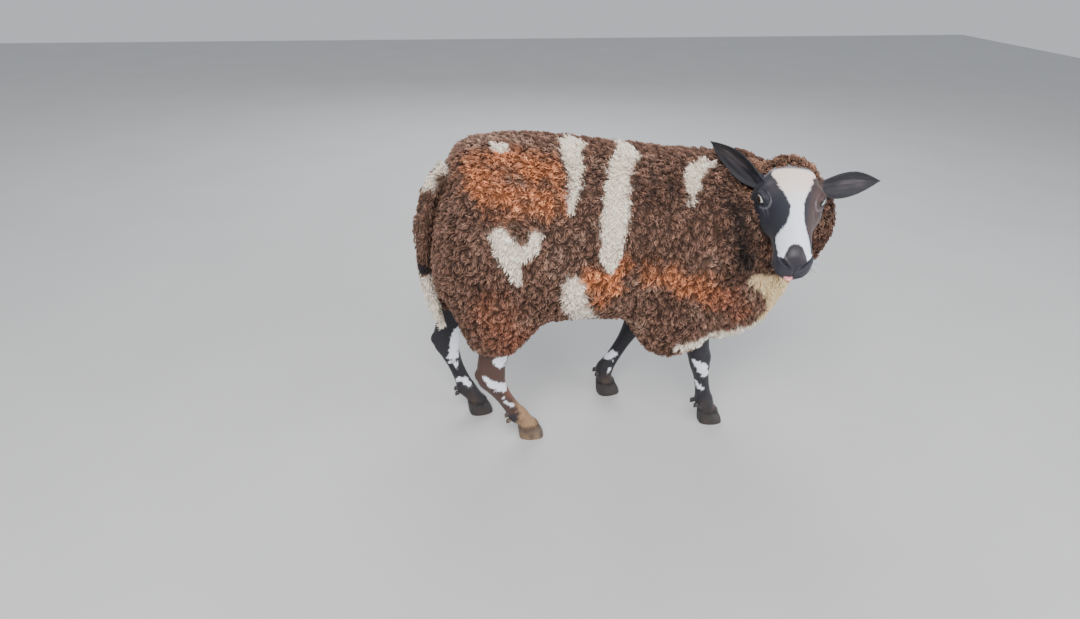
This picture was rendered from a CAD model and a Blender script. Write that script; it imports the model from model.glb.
"""The look of the Dutch Spotted ram: its skin, curly fleece, short hair, eyes, tongue and hooves.

Metres, +Z up, and millimetres where a table says so. Shapes are worked out in the frame in which the part's
source gives its sizes, and one shift takes each finished mesh to the CAD model's frame, where the origin is
on the floor under the middle.
"""

import logging
import math
from dataclasses import dataclass
from enum import Enum

import bmesh
import bpy
import numpy as np
from mathutils import Matrix, Vector
from mathutils.bvhtree import BVHTree
from mathutils.kdtree import KDTree


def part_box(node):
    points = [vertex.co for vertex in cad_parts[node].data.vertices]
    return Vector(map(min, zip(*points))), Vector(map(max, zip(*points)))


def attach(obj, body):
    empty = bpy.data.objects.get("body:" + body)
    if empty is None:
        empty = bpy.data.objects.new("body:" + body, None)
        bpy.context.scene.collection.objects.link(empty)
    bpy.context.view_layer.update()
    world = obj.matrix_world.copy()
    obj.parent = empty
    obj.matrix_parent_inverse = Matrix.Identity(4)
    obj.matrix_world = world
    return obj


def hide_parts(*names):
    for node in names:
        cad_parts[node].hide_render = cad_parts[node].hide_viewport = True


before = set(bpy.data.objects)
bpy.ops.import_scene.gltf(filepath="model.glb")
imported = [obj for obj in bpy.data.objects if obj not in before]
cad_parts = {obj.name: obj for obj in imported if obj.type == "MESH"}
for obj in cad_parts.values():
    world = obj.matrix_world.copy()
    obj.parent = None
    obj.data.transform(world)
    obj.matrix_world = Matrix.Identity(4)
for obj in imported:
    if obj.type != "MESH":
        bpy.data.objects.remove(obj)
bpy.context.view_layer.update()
log = logging.getLogger("ram")

SEED = 7
BAKE_MAP = "OFBake"
BAKE_PATCH = 0.003
MOST_TRIANGLES = 195000
COLOUR_NAME = "Marking"
BARE_NAME = "Bare"
CAP_ANGLES = (32.0, 65.0)
PAIRS = ("front", "hind")

Row = tuple[float, ...]
Rows = tuple[Row, ...] | list[Row]
Array = np.ndarray
Piece = bpy.types.Object
Material = bpy.types.Material


class Side(Enum):
    """Right or left of the ram, with the sign of Y there."""

    RIGHT = ("right", -1.0)
    LEFT = ("left", 1.0)

    @property
    def word(self) -> str:
        """The side's name as the nodes have it."""
        return self.value[0]

    @property
    def sign(self) -> float:
        """Which way Y points on this side."""
        return self.value[1]


class Shade(Enum):
    """Colours of wool, hair, skin and horn, as display values of 0 to 255."""

    CHOCOLATE = (112, 82, 69)
    UMBER = (84, 58, 47)
    DEEP_BROWN = (44, 34, 32)
    GREY_BROWN = (152, 124, 108)
    GINGER = (206, 122, 72)
    RUST = (134, 80, 58)
    CREAM = (252, 238, 222)
    BUTTER = (252, 226, 182)
    TAWNY = (146, 108, 88)
    BLACK = (33, 32, 38)
    BLUE_BLACK = (39, 40, 50)
    CHEEK = (78, 56, 50)
    WHITE = (228, 233, 244)
    FOREHEAD = (238, 212, 194)
    NOSE = (46, 41, 48)
    HAIRLINE = (168, 166, 172)
    EAR_INSIDE = (92, 84, 86)
    DARK_BROWN = (70, 48, 42)
    RED_BROWN = (112, 70, 52)
    OCHRE = (150, 118, 88)
    HORN_GREY = (46, 42, 43)
    MUD = (132, 106, 80)
    SCLERA = (216, 214, 216)
    IRIS = (58, 36, 22)
    PUPIL = (6, 6, 8)
    TONGUE_PINK = (224, 142, 150)

    @property
    def linear(self) -> Array:
        """The colour in linear light."""
        value = np.array(self.value) / 255.0
        return np.where(value <= 0.04045, value / 12.92, ((value + 0.055) / 1.055) ** 2.4)


def mm(*rows: Row) -> Rows:
    """Rows of millimetres as rows of metres."""
    return tuple(tuple(value / 1000 for value in row) for row in rows)


def spline(values: Rows, at: float) -> Row:
    """The Catmull-Rom curve through equal-length rows, read at a place that counts whole steps."""
    last = len(values) - 1
    i = min(int(at), last - 1)
    t = at - i
    p1, p2 = values[i], values[i + 1]
    p0 = values[i - 1] if i else tuple(2 * a - b for a, b in zip(p1, p2))
    p3 = values[i + 2] if i + 2 <= last else tuple(2 * b - a for a, b in zip(p1, p2))
    return tuple(
        0.5 * (2 * b + (c - a) * t + (2 * a - 5 * b + 4 * c - d) * t * t + (3 * b - a - 3 * c + d) * t**3)
        for a, b, c, d in zip(p0, p1, p2, p3)
    )


def curve(rows: Rows, steps: int) -> list[Row]:
    """The curve through the rows, with this many steps from each to the next."""
    return [spline(rows, i / steps) for i in range((len(rows) - 1) * steps + 1)]


def smooth_step(low: float, high: float, value: Array) -> Array:
    """Rises smoothly from 0 at low to 1 at high."""
    t = np.clip((value - low) / (high - low), 0.0, 1.0)
    return t * t * (3 - 2 * t)


def within(value: Array, rise: Row, fall: Row) -> Array:
    """1 between two slopes and 0 outside them."""
    return smooth_step(*rise, value) * (1 - smooth_step(*fall, value))


def bell(value: Array, width: float) -> Array:
    """1 where the value is 0, and less and less on both sides."""
    return np.exp(-((value / width) ** 2))


def noise(points: Array, size: float, seed: int) -> Array:
    """Smooth noise that depends on the place alone.

    Args:
        points: Places, one a row.
        size: How far apart its swells are.
        seed: Which noise.

    Returns:
        A value from -1 to 1 for each place.
    """
    at = np.asarray(points, dtype=np.float64) / size + 1000.0
    low = np.floor(at).astype(np.int64)
    part = at - low
    part = part * part * (3 - 2 * part)
    total = np.zeros(len(at))
    for corner in range(8):
        step = np.array([corner & 1, corner >> 1 & 1, corner >> 2 & 1])
        cell = low + step
        key = cell[:, 0] * 73856093 ^ cell[:, 1] * 19349663 ^ cell[:, 2] * 83492791 ^ (seed * 7919 + 17)
        key = (key ^ key >> 13) * 1274126177 & 0x7FFFFFFF
        value = (key >> 7 & 0xFFFF) / 32767.5 - 1.0
        weight = np.where(step == 1, part, 1 - part).prod(axis=1)
        total += value * weight
    return total


def unit(vectors: Array) -> Array:
    """The vectors with length one."""
    return vectors / np.maximum(np.linalg.norm(vectors, axis=-1, keepdims=True), 1e-9)


def flat_on(vectors: Array, normals: Array) -> Array:
    """What is left of the vectors along the surface whose normals are given."""
    return vectors - normals * (vectors * normals).sum(axis=-1, keepdims=True)


def turned(vectors: Array, axes: Array, angles: Array) -> Array:
    """The vectors turned about axes at right angles to them.

    Args:
        vectors: The vectors, one a row.
        axes: A unit axis for each.
        angles: A turn in radians for each.

    Returns:
        The turned vectors.
    """
    c, s = np.cos(angles)[:, None], np.sin(angles)[:, None]
    return vectors * c + np.cross(axes, vectors) * s


def square_to(way: Vector, tangent: Vector) -> Vector:
    """The part of a direction that is at right angles to the tangent, with length one."""
    return (way - tangent * tangent.dot(way)).normalized()


def heading(centres: list[Vector], i: int, reach: int = 1) -> Vector:
    """Which way a path runs at one of its places."""
    return (centres[min(i + reach, len(centres) - 1)] - centres[max(i - reach, 0)]).normalized()


def on_segment(points: Array, start: Array, end: Array) -> tuple[Array, Array]:
    """The nearest place of a segment to each point.

    Args:
        points: The points.
        start: The segment's start.
        end: Its end.

    Returns:
        How far along the segment the place is, from 0 to 1, and the way from there to the point.
    """
    way = end - start
    share = np.clip((points - start) @ way / max(float(way @ way), 1e-9), 0, 1)
    return share, points - (start + share[:, None] * way)


def gap_to(points: Array, chain: Rows | list[Array]) -> Array:
    """How far each point is from a chain of places."""
    spots = np.array(chain)
    gaps = [np.linalg.norm(on_segment(points, a, b)[1], axis=1) for a, b in zip(spots, spots[1:])]
    return np.min(gaps, axis=0)


def placed(name: str, data: bpy.types.ID) -> Piece:
    """A new object of the scene with this data."""
    obj = bpy.data.objects.new(name, data)
    bpy.context.scene.collection.objects.link(obj)
    return obj


def mesh_object(name: str, points: Array, faces: list) -> Piece:
    """A new object with faces that point outwards."""
    mesh = bpy.data.meshes.new(name)
    mesh.from_pydata([tuple(p) for p in points], [], faces)
    mesh.validate()
    obj = placed(name, mesh)
    outward(obj)
    return obj


def outward(obj: Piece) -> None:
    """Turns the object's faces outwards."""
    shape = bmesh.new()
    shape.from_mesh(obj.data)
    bmesh.ops.recalc_face_normals(shape, faces=shape.faces)
    if shape.calc_volume(signed=True) < 0:
        bmesh.ops.reverse_faces(shape, faces=shape.faces)
    shape.to_mesh(obj.data)
    shape.free()


def triangle_object(name: str, points: Array, triangles: Array) -> Piece:
    """A new object from arrays of points and triangles, which already point outwards."""
    mesh = bpy.data.meshes.new(name)
    mesh.vertices.add(len(points))
    mesh.vertices.foreach_set("co", np.ascontiguousarray(points, dtype=np.float32).ravel())
    mesh.loops.add(triangles.size)
    mesh.loops.foreach_set("vertex_index", np.ascontiguousarray(triangles, dtype=np.int32).ravel())
    mesh.polygons.add(len(triangles))
    mesh.polygons.foreach_set("loop_start", np.arange(0, triangles.size, 3, dtype=np.int32))
    mesh.update(calc_edges=True)
    return placed(name, mesh)


def shape_object(name: str, shape: bmesh.types.BMesh) -> Piece:
    """A new object from a working mesh, which is freed."""
    mesh = bpy.data.meshes.new(name)
    shape.to_mesh(mesh)
    shape.free()
    return placed(name, mesh)


def freeze(obj: Piece) -> Piece:
    """Replaces the object's mesh by its evaluated one, and drops its modifiers."""
    graph = bpy.context.evaluated_depsgraph_get()
    mesh = bpy.data.meshes.new_from_object(obj.evaluated_get(graph))
    obj.modifiers.clear()
    obj.data = mesh
    return obj


def remove(*objects: Piece) -> None:
    """Takes the objects out of the file."""
    for obj in objects:
        bpy.data.objects.remove(obj, do_unlink=True)


def joined(name: str, pieces: list[Piece]) -> Piece:
    """One object with the meshes of all the pieces, which are removed."""
    shape = bmesh.new()
    for piece in pieces:
        shape.from_mesh(piece.data)
    remove(*pieces)
    return shape_object(name, shape)


def remeshed(obj: Piece, voxel: float, smoothing: int) -> Piece:
    """Fuses what overlaps in the mesh into one smooth closed skin.

    Args:
        obj: The object.
        voxel: The size of the new faces.
        smoothing: How many times it is smoothed.

    Returns:
        The same object.
    """
    fused = obj.modifiers.new("fuse", "REMESH")
    fused.mode = "VOXEL"
    fused.voxel_size = voxel
    smooth = obj.modifiers.new("smooth", "SMOOTH")
    smooth.iterations = smoothing
    return freeze(obj)


def cut(obj: Piece, cutter: Piece) -> None:
    """Cuts the cutter out of the object, and removes the cutter."""
    step = obj.modifiers.new("cut", "BOOLEAN")
    step.operation = "DIFFERENCE"
    step.solver = "MANIFOLD"
    step.object = cutter
    freeze(obj)
    remove(cutter)


def read(items: bpy.types.bpy_prop_collection, name: str, width: int, kind: type = np.float32) -> Array:
    """One value of every item of a collection, such as its place, with an item a row."""
    flat = np.empty(len(items) * width, dtype=kind)
    items.foreach_get(name, flat)
    return flat.reshape(-1, width)


def points_of(obj: Piece) -> Array:
    """The object's points as an array, one a row."""
    return read(obj.data.vertices, "co", 3).astype(np.float64)


def normals_of(obj: Piece) -> Array:
    """The object's point normals as an array, one a row."""
    return read(obj.data.vertex_normals, "vector", 3).astype(np.float64)


def move_points(obj: Piece, points: Array) -> None:
    """Gives the object's points new places."""
    obj.data.vertices.foreach_set("co", np.ascontiguousarray(points, dtype=np.float32).ravel())
    obj.data.update()


def quads(rows: int, across: int, closed: bool = True) -> list[tuple[int, int, int, int]]:
    """The faces of a grid of points.

    Args:
        rows: How many rows it has.
        across: How many points each row has.
        closed: Whether each row is a ring.

    Returns:
        The faces, row by row, each from its first corner along the row.
    """
    faces = []
    for i in range(rows - 1):
        for j in range(across if closed else across - 1):
            a, b = i * across + j, i * across + (j + 1) % across
            faces.append((a, b, b + across, a + across))
    return faces


def capped(rings: list[list[Vector]], start: Vector, end: Vector) -> tuple[list[Vector], list]:
    """A closed skin over rings of points, with a pole point at each end.

    Args:
        rings: Rings with the same number of points each.
        start: The pole before the first ring.
        end: The pole after the last ring.

    Returns:
        The points and the faces.
    """
    sides = len(rings[0])
    points = [p for ring in rings for p in ring] + [start, end]
    faces = quads(len(rings), sides)
    first, last = len(points) - 2, len(points) - 1
    base = (len(rings) - 1) * sides
    for j in range(sides):
        k = (j + 1) % sides
        faces += [(first, k, j), (last, base + j, base + k)]
    return points, faces


def superellipse(sides: int, power: float) -> list[tuple[float, float]]:
    """Places up and out round a superellipse of half size one, squarer the more its power passes 2."""
    turns = [math.tau * j / sides for j in range(sides)]
    waves = [(math.cos(a), math.sin(a)) for a in turns]
    return [tuple(math.copysign(abs(v) ** (2 / power), v) for v in wave) for wave in waves]


def section(centre: Vector, up: Vector, out: Vector, sides: int, power: float) -> list[Vector]:
    """A ring of points on a superellipse with these half sizes."""
    return [centre + up * rise + out * reach for rise, reach in superellipse(sides, power)]


def shrunk(ring: list[Vector], centre: Vector, reach: Vector, angle: float) -> list[Vector]:
    """A ring of a round cap, this many degrees on from the full ring."""
    keep, on = math.cos(math.radians(angle)), math.sin(math.radians(angle))
    return [centre + (p - centre) * keep + reach * on for p in ring]


def tube(name: str, rows: Rows, caps: Row, sides: int = 16, steps: int = 3, power: float = 2.2) -> Piece:
    """A closed tube with round ends.

    Args:
        name: The object's name.
        rows: Its sections in order: x, y and z of the centre, half depth and half width.
        caps: How far each end's cap reaches.
        sides: Points round a section.
        steps: Sections between each pair of rows.
        power: The superellipse's power.

    Returns:
        The tube.
    """
    path = curve(rows, steps)
    centres = [Vector(p[:3]) for p in path]
    tangents = [heading(centres, i) for i in range(len(path))]
    rings = []
    for p, centre, tangent in zip(path, centres, tangents):
        out = square_to(Vector((0.0, 1.0, 0.0)), tangent)
        rings.append(section(centre, tangent.cross(out) * p[3], out * p[4], sides, power))
    start, end = -tangents[0] * caps[0], tangents[-1] * caps[1]
    before = [shrunk(rings[0], centres[0], start, a) for a in reversed(CAP_ANGLES)]
    after = [shrunk(rings[-1], centres[-1], end, a) for a in CAP_ANGLES]
    return mesh_object(name, *capped(before + rings + after, centres[0] + start, centres[-1] + end))


def ellipsoid(
    name: str, centre: Row | Vector, radii: Row, turn: Matrix | None = None, rings: int = 16, sides: int = 24
) -> Piece:
    """A stretched sphere.

    Args:
        name: The object's name.
        centre: Its middle.
        radii: Its half sizes.
        turn: How it is turned about its middle.
        rings: Rings from pole to pole.
        sides: Points round a ring.

    Returns:
        The ellipsoid.
    """
    shape = bmesh.new()
    bmesh.ops.create_uvsphere(shape, u_segments=sides, v_segments=rings, radius=1.0)
    place = Matrix.Translation(Vector(centre)) @ (turn or Matrix.Identity(4)) @ Matrix.Diagonal((*radii, 1.0))
    bmesh.ops.transform(shape, matrix=place, verts=shape.verts)
    obj = shape_object(name, shape)
    outward(obj)
    return obj


def turning(degrees: Row) -> Matrix:
    """A turn about X, then Y, then Z."""
    made = Matrix.Identity(4)
    for angle, axis in zip(degrees, "XYZ"):
        made = Matrix.Rotation(math.radians(angle), 4, axis) @ made
    return made


def axes(*columns: Vector) -> Matrix:
    """The turn that takes X, Y and Z to these directions."""
    return Matrix(columns).transposed().to_4x4()


def plain(shade: Shade, count: int) -> Array:
    """One shade, as many times as there are points."""
    return np.repeat(shade.linear[None], count, axis=0)


def blend(base: Array, shade: Shade, amount: Array) -> Array:
    """The base colours, mixed with a shade by the amount at each place."""
    share = np.clip(amount, 0, 1)[:, None]
    return base * (1 - share) + shade.linear * share


def paint(obj: Piece, colours: Array) -> None:
    """Stores a colour for each point of the object."""
    layer = obj.data.attributes.new(COLOUR_NAME, "FLOAT_COLOR", "POINT")
    full = np.ones((len(colours), 4), dtype=np.float32)
    full[:, :3] = colours
    layer.data.foreach_set("color", full.ravel())


def dressed(obj: Piece, colours: Array, finish: Material, angle: float = 180.0) -> Piece:
    """Paints the object, gives it its material and shades it smooth, but for edges past an angle."""
    paint(obj, colours)
    obj.data.materials.clear()
    obj.data.materials.append(finish)
    obj.data.shade_smooth()
    if angle < 180.0:
        obj.data.set_sharp_from_angle(angle=math.radians(angle))
    return obj


def strands(
    name: str, points: Array, template: Array, colours: Array, maps: Array, patch: Array, finish: Material
) -> Piece:
    """One mesh of many strands of the same build.

    Args:
        name: The piece's name.
        points: Every strand's points.
        template: One strand's triangles, as numbers of its own points.
        colours: The colour of every point of every strand.
        maps: Where every root lies on the unwrap.
        patch: Where each of a strand's points lies in the strand's own patch of the unwrap.
        finish: The material.

    Returns:
        The piece, with its colours and its map.
    """
    count, each = points.shape[:2]
    triangles = (template[None] + (np.arange(count) * each)[:, None, None]).reshape(-1, 3)
    obj = triangle_object(name, points.reshape(-1, 3), triangles)
    places = (maps[:, None, :] + patch[None] * BAKE_PATCH).reshape(-1, 2)
    layer = obj.data.uv_layers.new(name=BAKE_MAP)
    layer.data.foreach_set("uv", places[triangles.ravel()].astype(np.float32).ravel())
    return dressed(obj, colours.reshape(-1, 3), finish)


def node(tree: bpy.types.NodeTree, kind: str, inputs: dict | None = None, **settings: str) -> bpy.types.Node:
    """A new node of a tree.

    Args:
        tree: The tree.
        kind: The node's type.
        inputs: What its inputs get, by name: a value, or another node's output to link.
        settings: Its other settings.

    Returns:
        The node.
    """
    made = tree.nodes.new(kind)
    for name, value in settings.items():
        setattr(made, name, value)
    feed(tree, made, inputs or {})
    return made


def feed(tree: bpy.types.NodeTree, taker: bpy.types.Node, inputs: dict) -> None:
    """Gives a node's inputs their values or links."""
    for name, value in inputs.items():
        if isinstance(value, bpy.types.NodeSocket):
            tree.links.new(value, taker.inputs[name])
        else:
            taker.inputs[name].default_value = value


@dataclass(frozen=True)
class Finish:
    """A finish coloured by the piece's own markings, finely mottled, and shinier where skin is bare."""

    name: str
    roughness: float
    mottle: float = 0.15
    scale: float = 300.0
    detail: float = 3.0
    specular: float = 0.5
    sheen: tuple[float, float] = (0.0, 0.5)
    coat: float = 0.0
    bump: float = 0.0
    bump_depth: float = 0.0006
    subsurface: float = 0.0
    bare_roughness: float | None = None

    def material(self) -> Material:
        """The finish's material."""
        made = bpy.data.materials.new(self.name)
        made.use_nodes = True
        tree = made.node_tree
        place = node(tree, "ShaderNodeTexCoord").outputs["Object"]
        noisy = {"Vector": place, "Scale": self.scale, "Detail": self.detail}
        grain = node(tree, "ShaderNodeTexNoise", noisy).outputs["Fac"]
        span = {"Value": grain, "To Min": 1.0 - self.mottle, "To Max": 1.0 + self.mottle}
        spread = node(tree, "ShaderNodeMapRange", span).outputs["Result"]
        mark = node(tree, "ShaderNodeAttribute", attribute_name=COLOUR_NAME).outputs["Color"]
        mixed = node(tree, "ShaderNodeVectorMath", {0: mark, "Scale": spread}, operation="SCALE")
        looks = {
            "Base Color": mixed.outputs["Vector"],
            "Roughness": self.roughness,
            "Specular IOR Level": self.specular,
            "Sheen Weight": self.sheen[0],
            "Sheen Roughness": self.sheen[1],
            "Coat Weight": self.coat,
            "Coat Roughness": 0.03,
            "Subsurface Weight": self.subsurface,
            "Subsurface Radius": (0.004, 0.002, 0.001),
        }
        if self.bump:
            raised = {"Strength": self.bump, "Distance": self.bump_depth, "Height": grain}
            looks["Normal"] = node(tree, "ShaderNodeBump", raised).outputs["Normal"]
        if self.bare_roughness is not None:
            bare = node(tree, "ShaderNodeAttribute", attribute_name=BARE_NAME).outputs["Fac"]
            gloss = {"Value": bare, "From Min": -1.0, "To Min": self.roughness, "To Max": self.bare_roughness}
            looks["Roughness"] = node(tree, "ShaderNodeMapRange", gloss).outputs["Result"]
        feed(tree, tree.nodes["Principled BSDF"], looks)
        return made


WOOL = Finish("wool", 0.88, mottle=0.22, scale=900.0, detail=2.0, specular=0.12, sheen=(0.06, 0.5))
HAIR = Finish("short_hair", 0.90, mottle=0.28, scale=520.0, specular=0.40, sheen=(0.10, 0.4), bump=0.35,
              bump_depth=0.0008, bare_roughness=0.40)
BRISTLE = Finish("bristle", 0.45)
WET_EYE = Finish("wet_eye", 0.08, mottle=0.06, coat=1.0)
MOIST_TONGUE = Finish("moist_tongue", 0.35, mottle=0.10, coat=0.4, bump=0.3, subsurface=0.15)
HORN = Finish("horn", 0.50, mottle=0.25, scale=420.0, bump=0.4)


class Surface:
    """A mesh as arrays, for spreading roots over it and for finding what is nearest on it."""

    def __init__(self, obj: Piece, unwrap: bool = False) -> None:
        """Reads the object's triangles.

        Args:
            obj: The object.
            unwrap: Whether it is unwrapped too, for the map that the colours are baked on.
        """
        self.points = points_of(obj)
        if unwrap:
            bpy.context.view_layer.objects.active = obj
            obj.select_set(True)
            bpy.ops.object.mode_set(mode="EDIT")
            bpy.ops.mesh.select_all(action="SELECT")
            bpy.ops.uv.smart_project(angle_limit=math.radians(66), island_margin=0.004)
            bpy.ops.object.mode_set(mode="OBJECT")
            obj.select_set(False)
        mesh = obj.data
        mesh.calc_loop_triangles()
        self.triangles = read(mesh.loop_triangles, "vertices", 3, np.int32)
        self.point_normals = normals_of(obj)
        if unwrap:
            loops = read(mesh.loop_triangles, "loops", 3, np.int32)
            self.unwrapped = read(mesh.uv_layers.active.data, "uv", 2)[loops]
        corners = self.points[self.triangles]
        cross = np.cross(corners[:, 1] - corners[:, 0], corners[:, 2] - corners[:, 0])
        self.areas = np.linalg.norm(cross, axis=1) / 2
        self.tree = BVHTree.FromPolygons(self.points.tolist(), self.triangles.tolist())

    def spread(self, spacing: float, seed: int) -> tuple[Array, Array]:
        """Points over the surface, none nearer to another than the spacing.

        Args:
            spacing: The least distance.
            seed: Which spread.

        Returns:
            The points and the smooth outward direction at each.
        """
        rng = np.random.default_rng(seed)
        tries = int(self.areas.sum() / spacing**2 * 6.5)
        picked = rng.choice(len(self.areas), size=tries, p=self.areas / self.areas.sum())
        a, b = rng.random(tries), rng.random(tries)
        over = a + b > 1
        a[over], b[over] = 1 - a[over], 1 - b[over]
        shares = np.stack((1 - a - b, a, b), axis=1)[:, :, None]
        spots = (self.points[self.triangles[picked]] * shares).sum(axis=1)
        away = unit((self.point_normals[self.triangles[picked]] * shares).sum(axis=1))
        cells: dict[tuple[int, int, int], list[int]] = {}
        keep = []
        home = np.floor(spots / spacing).astype(int).tolist()
        listed = spots.tolist()
        least = spacing * spacing
        around = [(i, j, k) for i in (-1, 0, 1) for j in (-1, 0, 1) for k in (-1, 0, 1)]
        for n, (x, y, z) in enumerate(home):
            px, py, pz = listed[n]
            free = True
            for i, j, k in around:
                for m in cells.get((x + i, y + j, z + k), ()):
                    qx, qy, qz = listed[m]
                    if (px - qx) ** 2 + (py - qy) ** 2 + (pz - qz) ** 2 < least:
                        free = False
                        break
                if not free:
                    break
            if free:
                cells.setdefault((x, y, z), []).append(n)
                keep.append(n)
        return spots[keep], away[keep]

    def nearest(self, points: Array) -> tuple[Array, Array, Array]:
        """The nearest place on the surface to each point.

        Args:
            points: The points.

        Returns:
            The places, how far outside the surface each point is (less than 0 inside it), and the triangles.
        """
        places = np.empty((len(points), 3))
        outside = np.empty(len(points))
        triangles = np.empty(len(points), dtype=np.int64)
        for n, p in enumerate(points.tolist()):
            spot, normal, index, gap = self.tree.find_nearest(p)
            places[n] = spot
            side = sum((a - b) * c for a, b, c in zip(p, spot, normal))
            outside[n] = math.copysign(gap, side)
            triangles[n] = index
        return places, outside, triangles

    def map_places(self, points: Array) -> Array:
        """Where each point's nearest place lies on the unwrap."""
        places, _, picked = self.nearest(points)
        corners = self.points[self.triangles[picked]]
        one, two, rest = corners[:, 1] - corners[:, 0], corners[:, 2] - corners[:, 0], places - corners[:, 0]
        d00, d01, d11 = (one * one).sum(1), (one * two).sum(1), (two * two).sum(1)
        d20, d21 = (rest * one).sum(1), (rest * two).sum(1)
        flat = np.maximum(d00 * d11 - d01 * d01, 1e-18)
        v = np.clip((d11 * d20 - d01 * d21) / flat, 0, 1)
        w = np.clip((d00 * d21 - d01 * d20) / flat, 0, 1)
        shares = np.stack((1 - v - w, v, w), axis=1)[:, :, None]
        return (self.unwrapped[picked] * shares).sum(axis=1)


@dataclass(frozen=True)
class Mark:
    """A patch of another colour: a chain of balls joined by cones, with a ragged edge, in millimetres."""

    shade: Shade
    balls: Rows
    edge: float = 4
    ragged: float = 5

    def share(self, points: Array) -> Array:
        """How far each point is inside the patch, from 0 to 1."""
        balls = np.array(self.balls if len(self.balls) > 1 else self.balls * 2) / 1000
        gaps = []
        for first, last in zip(balls, balls[1:]):
            t, off = on_segment(points, first[:3], last[:3])
            gaps.append(np.linalg.norm(off, axis=1) - (first[3] + (last[3] - first[3]) * t))
        wave = noise(points, 0.022, 3) + noise(points, 0.008, 5) * 0.9
        wave += noise(points * np.array([1.0, 1.0, 0.35]), 0.0028, 6) * 0.5
        edge = self.edge / 1000
        return 1 - smooth_step(-edge, edge, np.min(gaps, axis=0) + wave * self.ragged / 1000)


WOOL_MARKS = (
    Mark(Shade.GINGER, ((-305, -85, 764, 26), (-220, -100, 770, 40), (-140, -124, 754, 36)), 34, 22),
    Mark(Shade.GINGER, ((-290, -140, 728, 26), (-235, -168, 711, 36), (-150, -175, 696, 30)), 34, 22),
    Mark(Shade.GINGER, ((-60, -203, 522, 22), (-20, -198, 494, 34), (-31, -185, 450, 22)), 20, 12),
    Mark(Shade.GINGER, ((-20, -198, 510, 26), (12, -203, 546, 18)), 18, 12),
    Mark(Shade.GINGER, ((78, -200, 522, 20), (125, -198, 500, 28), (190, -193, 478, 30),
         (250, -186, 443, 24)), 22, 14),
    Mark(Shade.RUST, ((250, -186, 440, 24), (315, -168, 408, 30), (345, -155, 378, 24)), 18, 12),
    Mark(Shade.DEEP_BROWN, ((258, -185, 668, 14), (270, -214, 608, 20), (285, -220, 560, 24),
         (312, -210, 520, 20)), 24, 12),
    Mark(Shade.RUST, ((-265, -170, 450, 45), (-230, -165, 370, 50)), 40, 16),
    Mark(Shade.TAWNY, ((314, -163, 683, 20), (386, -39, 716, 26)), 14, 8),
    Mark(Shade.CREAM, ((-229, -59, 783, 19), (-236, -40, 790, 14))),
    Mark(Shade.CREAM, ((-52, 30, 780, 18), (-60, -14, 778, 29), (-81, -95, 764, 24), (-82, -131, 743, 16),
         (-90, -158, 718, 12), (-104, -186, 672, 4))),
    Mark(Shade.CREAM, ((72, 55, 752, 12), (67, -40, 757, 24), (17, -118, 738, 27), (-3, -172, 687, 30),
         (-11, -197, 626, 29), (-18, -203, 572, 23), (-18, -203, 540, 12))),
    Mark(Shade.CREAM, ((252, -54, 733, 18), (202, -96, 723, 23), (184, -142, 693, 13),
         (176, -161, 673, 5))),
    Mark(Shade.CREAM, ((-258, -199, 631, 20), (-232, -204, 590, 27), (-226, -206, 549, 15),
         (-222, -205, 518, 6))),
    Mark(Shade.CREAM, ((-182, -204, 628, 16), (-190, -204, 606, 18), (-226, -206, 582, 22))),
    Mark(Shade.CREAM, ((-98, -200, 508, 20), (-85, -182, 444, 26), (-40, -140, 372, 30)), 8),
    Mark(Shade.BUTTER, ((348, -178, 472, 10), (392, -150, 450, 24), (455, -105, 420, 48),
         (440, -80, 360, 52), (400, -85, 318, 46)), 8),
    Mark(Shade.CREAM, ((385, -95, 310, 40), (325, -120, 300, 26), (243, -160, 302, 26),
         (182, -178, 306, 12)), 7),
    Mark(Shade.CREAM, ((-15, -164, 385, 8), (50, -167, 378, 8)), 6),
    Mark(Shade.CREAM, ((-120, 190, 640, 30), (-150, 205, 570, 34), (-185, 205, 520, 20))),
    Mark(Shade.CREAM, ((120, 100, 735, 20), (125, 165, 690, 28), (105, 195, 620, 26), (115, 200, 560, 16))),
    Mark(Shade.CREAM, ((-300, 165, 700, 22), (-325, 150, 660, 14))),
    Mark(Shade.CREAM, ((300, 120, 360, 30), (340, 110, 300, 24)), 8),
    Mark(Shade.CREAM, ((260, 165, 600, 16), (275, 168, 560, 12))),
    Mark(Shade.GINGER, ((-230, 150, 720, 40), (-170, 175, 690, 36)), 30, 20),
    Mark(Shade.GINGER, ((20, 195, 480, 34), (140, 195, 460, 30)), 30, 18),
)
TAIL_MARKS = (
    Mark(Shade.CREAM, ((-350, -10, 735, 22), (-378, -6, 690, 22)), 6),
    Mark(Shade.CREAM, ((-410, 30, 640, 12), (-418, 30, 560, 14), (-418, 28, 490, 14)), 5, 3),
    Mark(Shade.CREAM, ((-404, 4, 450, 34), (-385, 4, 380, 36), (-368, 4, 330, 30)), 5, 4),
    Mark(Shade.BLACK, ((-402, -20, 492, 18), (-402, 20, 492, 12)), 5, 3),
)
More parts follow.
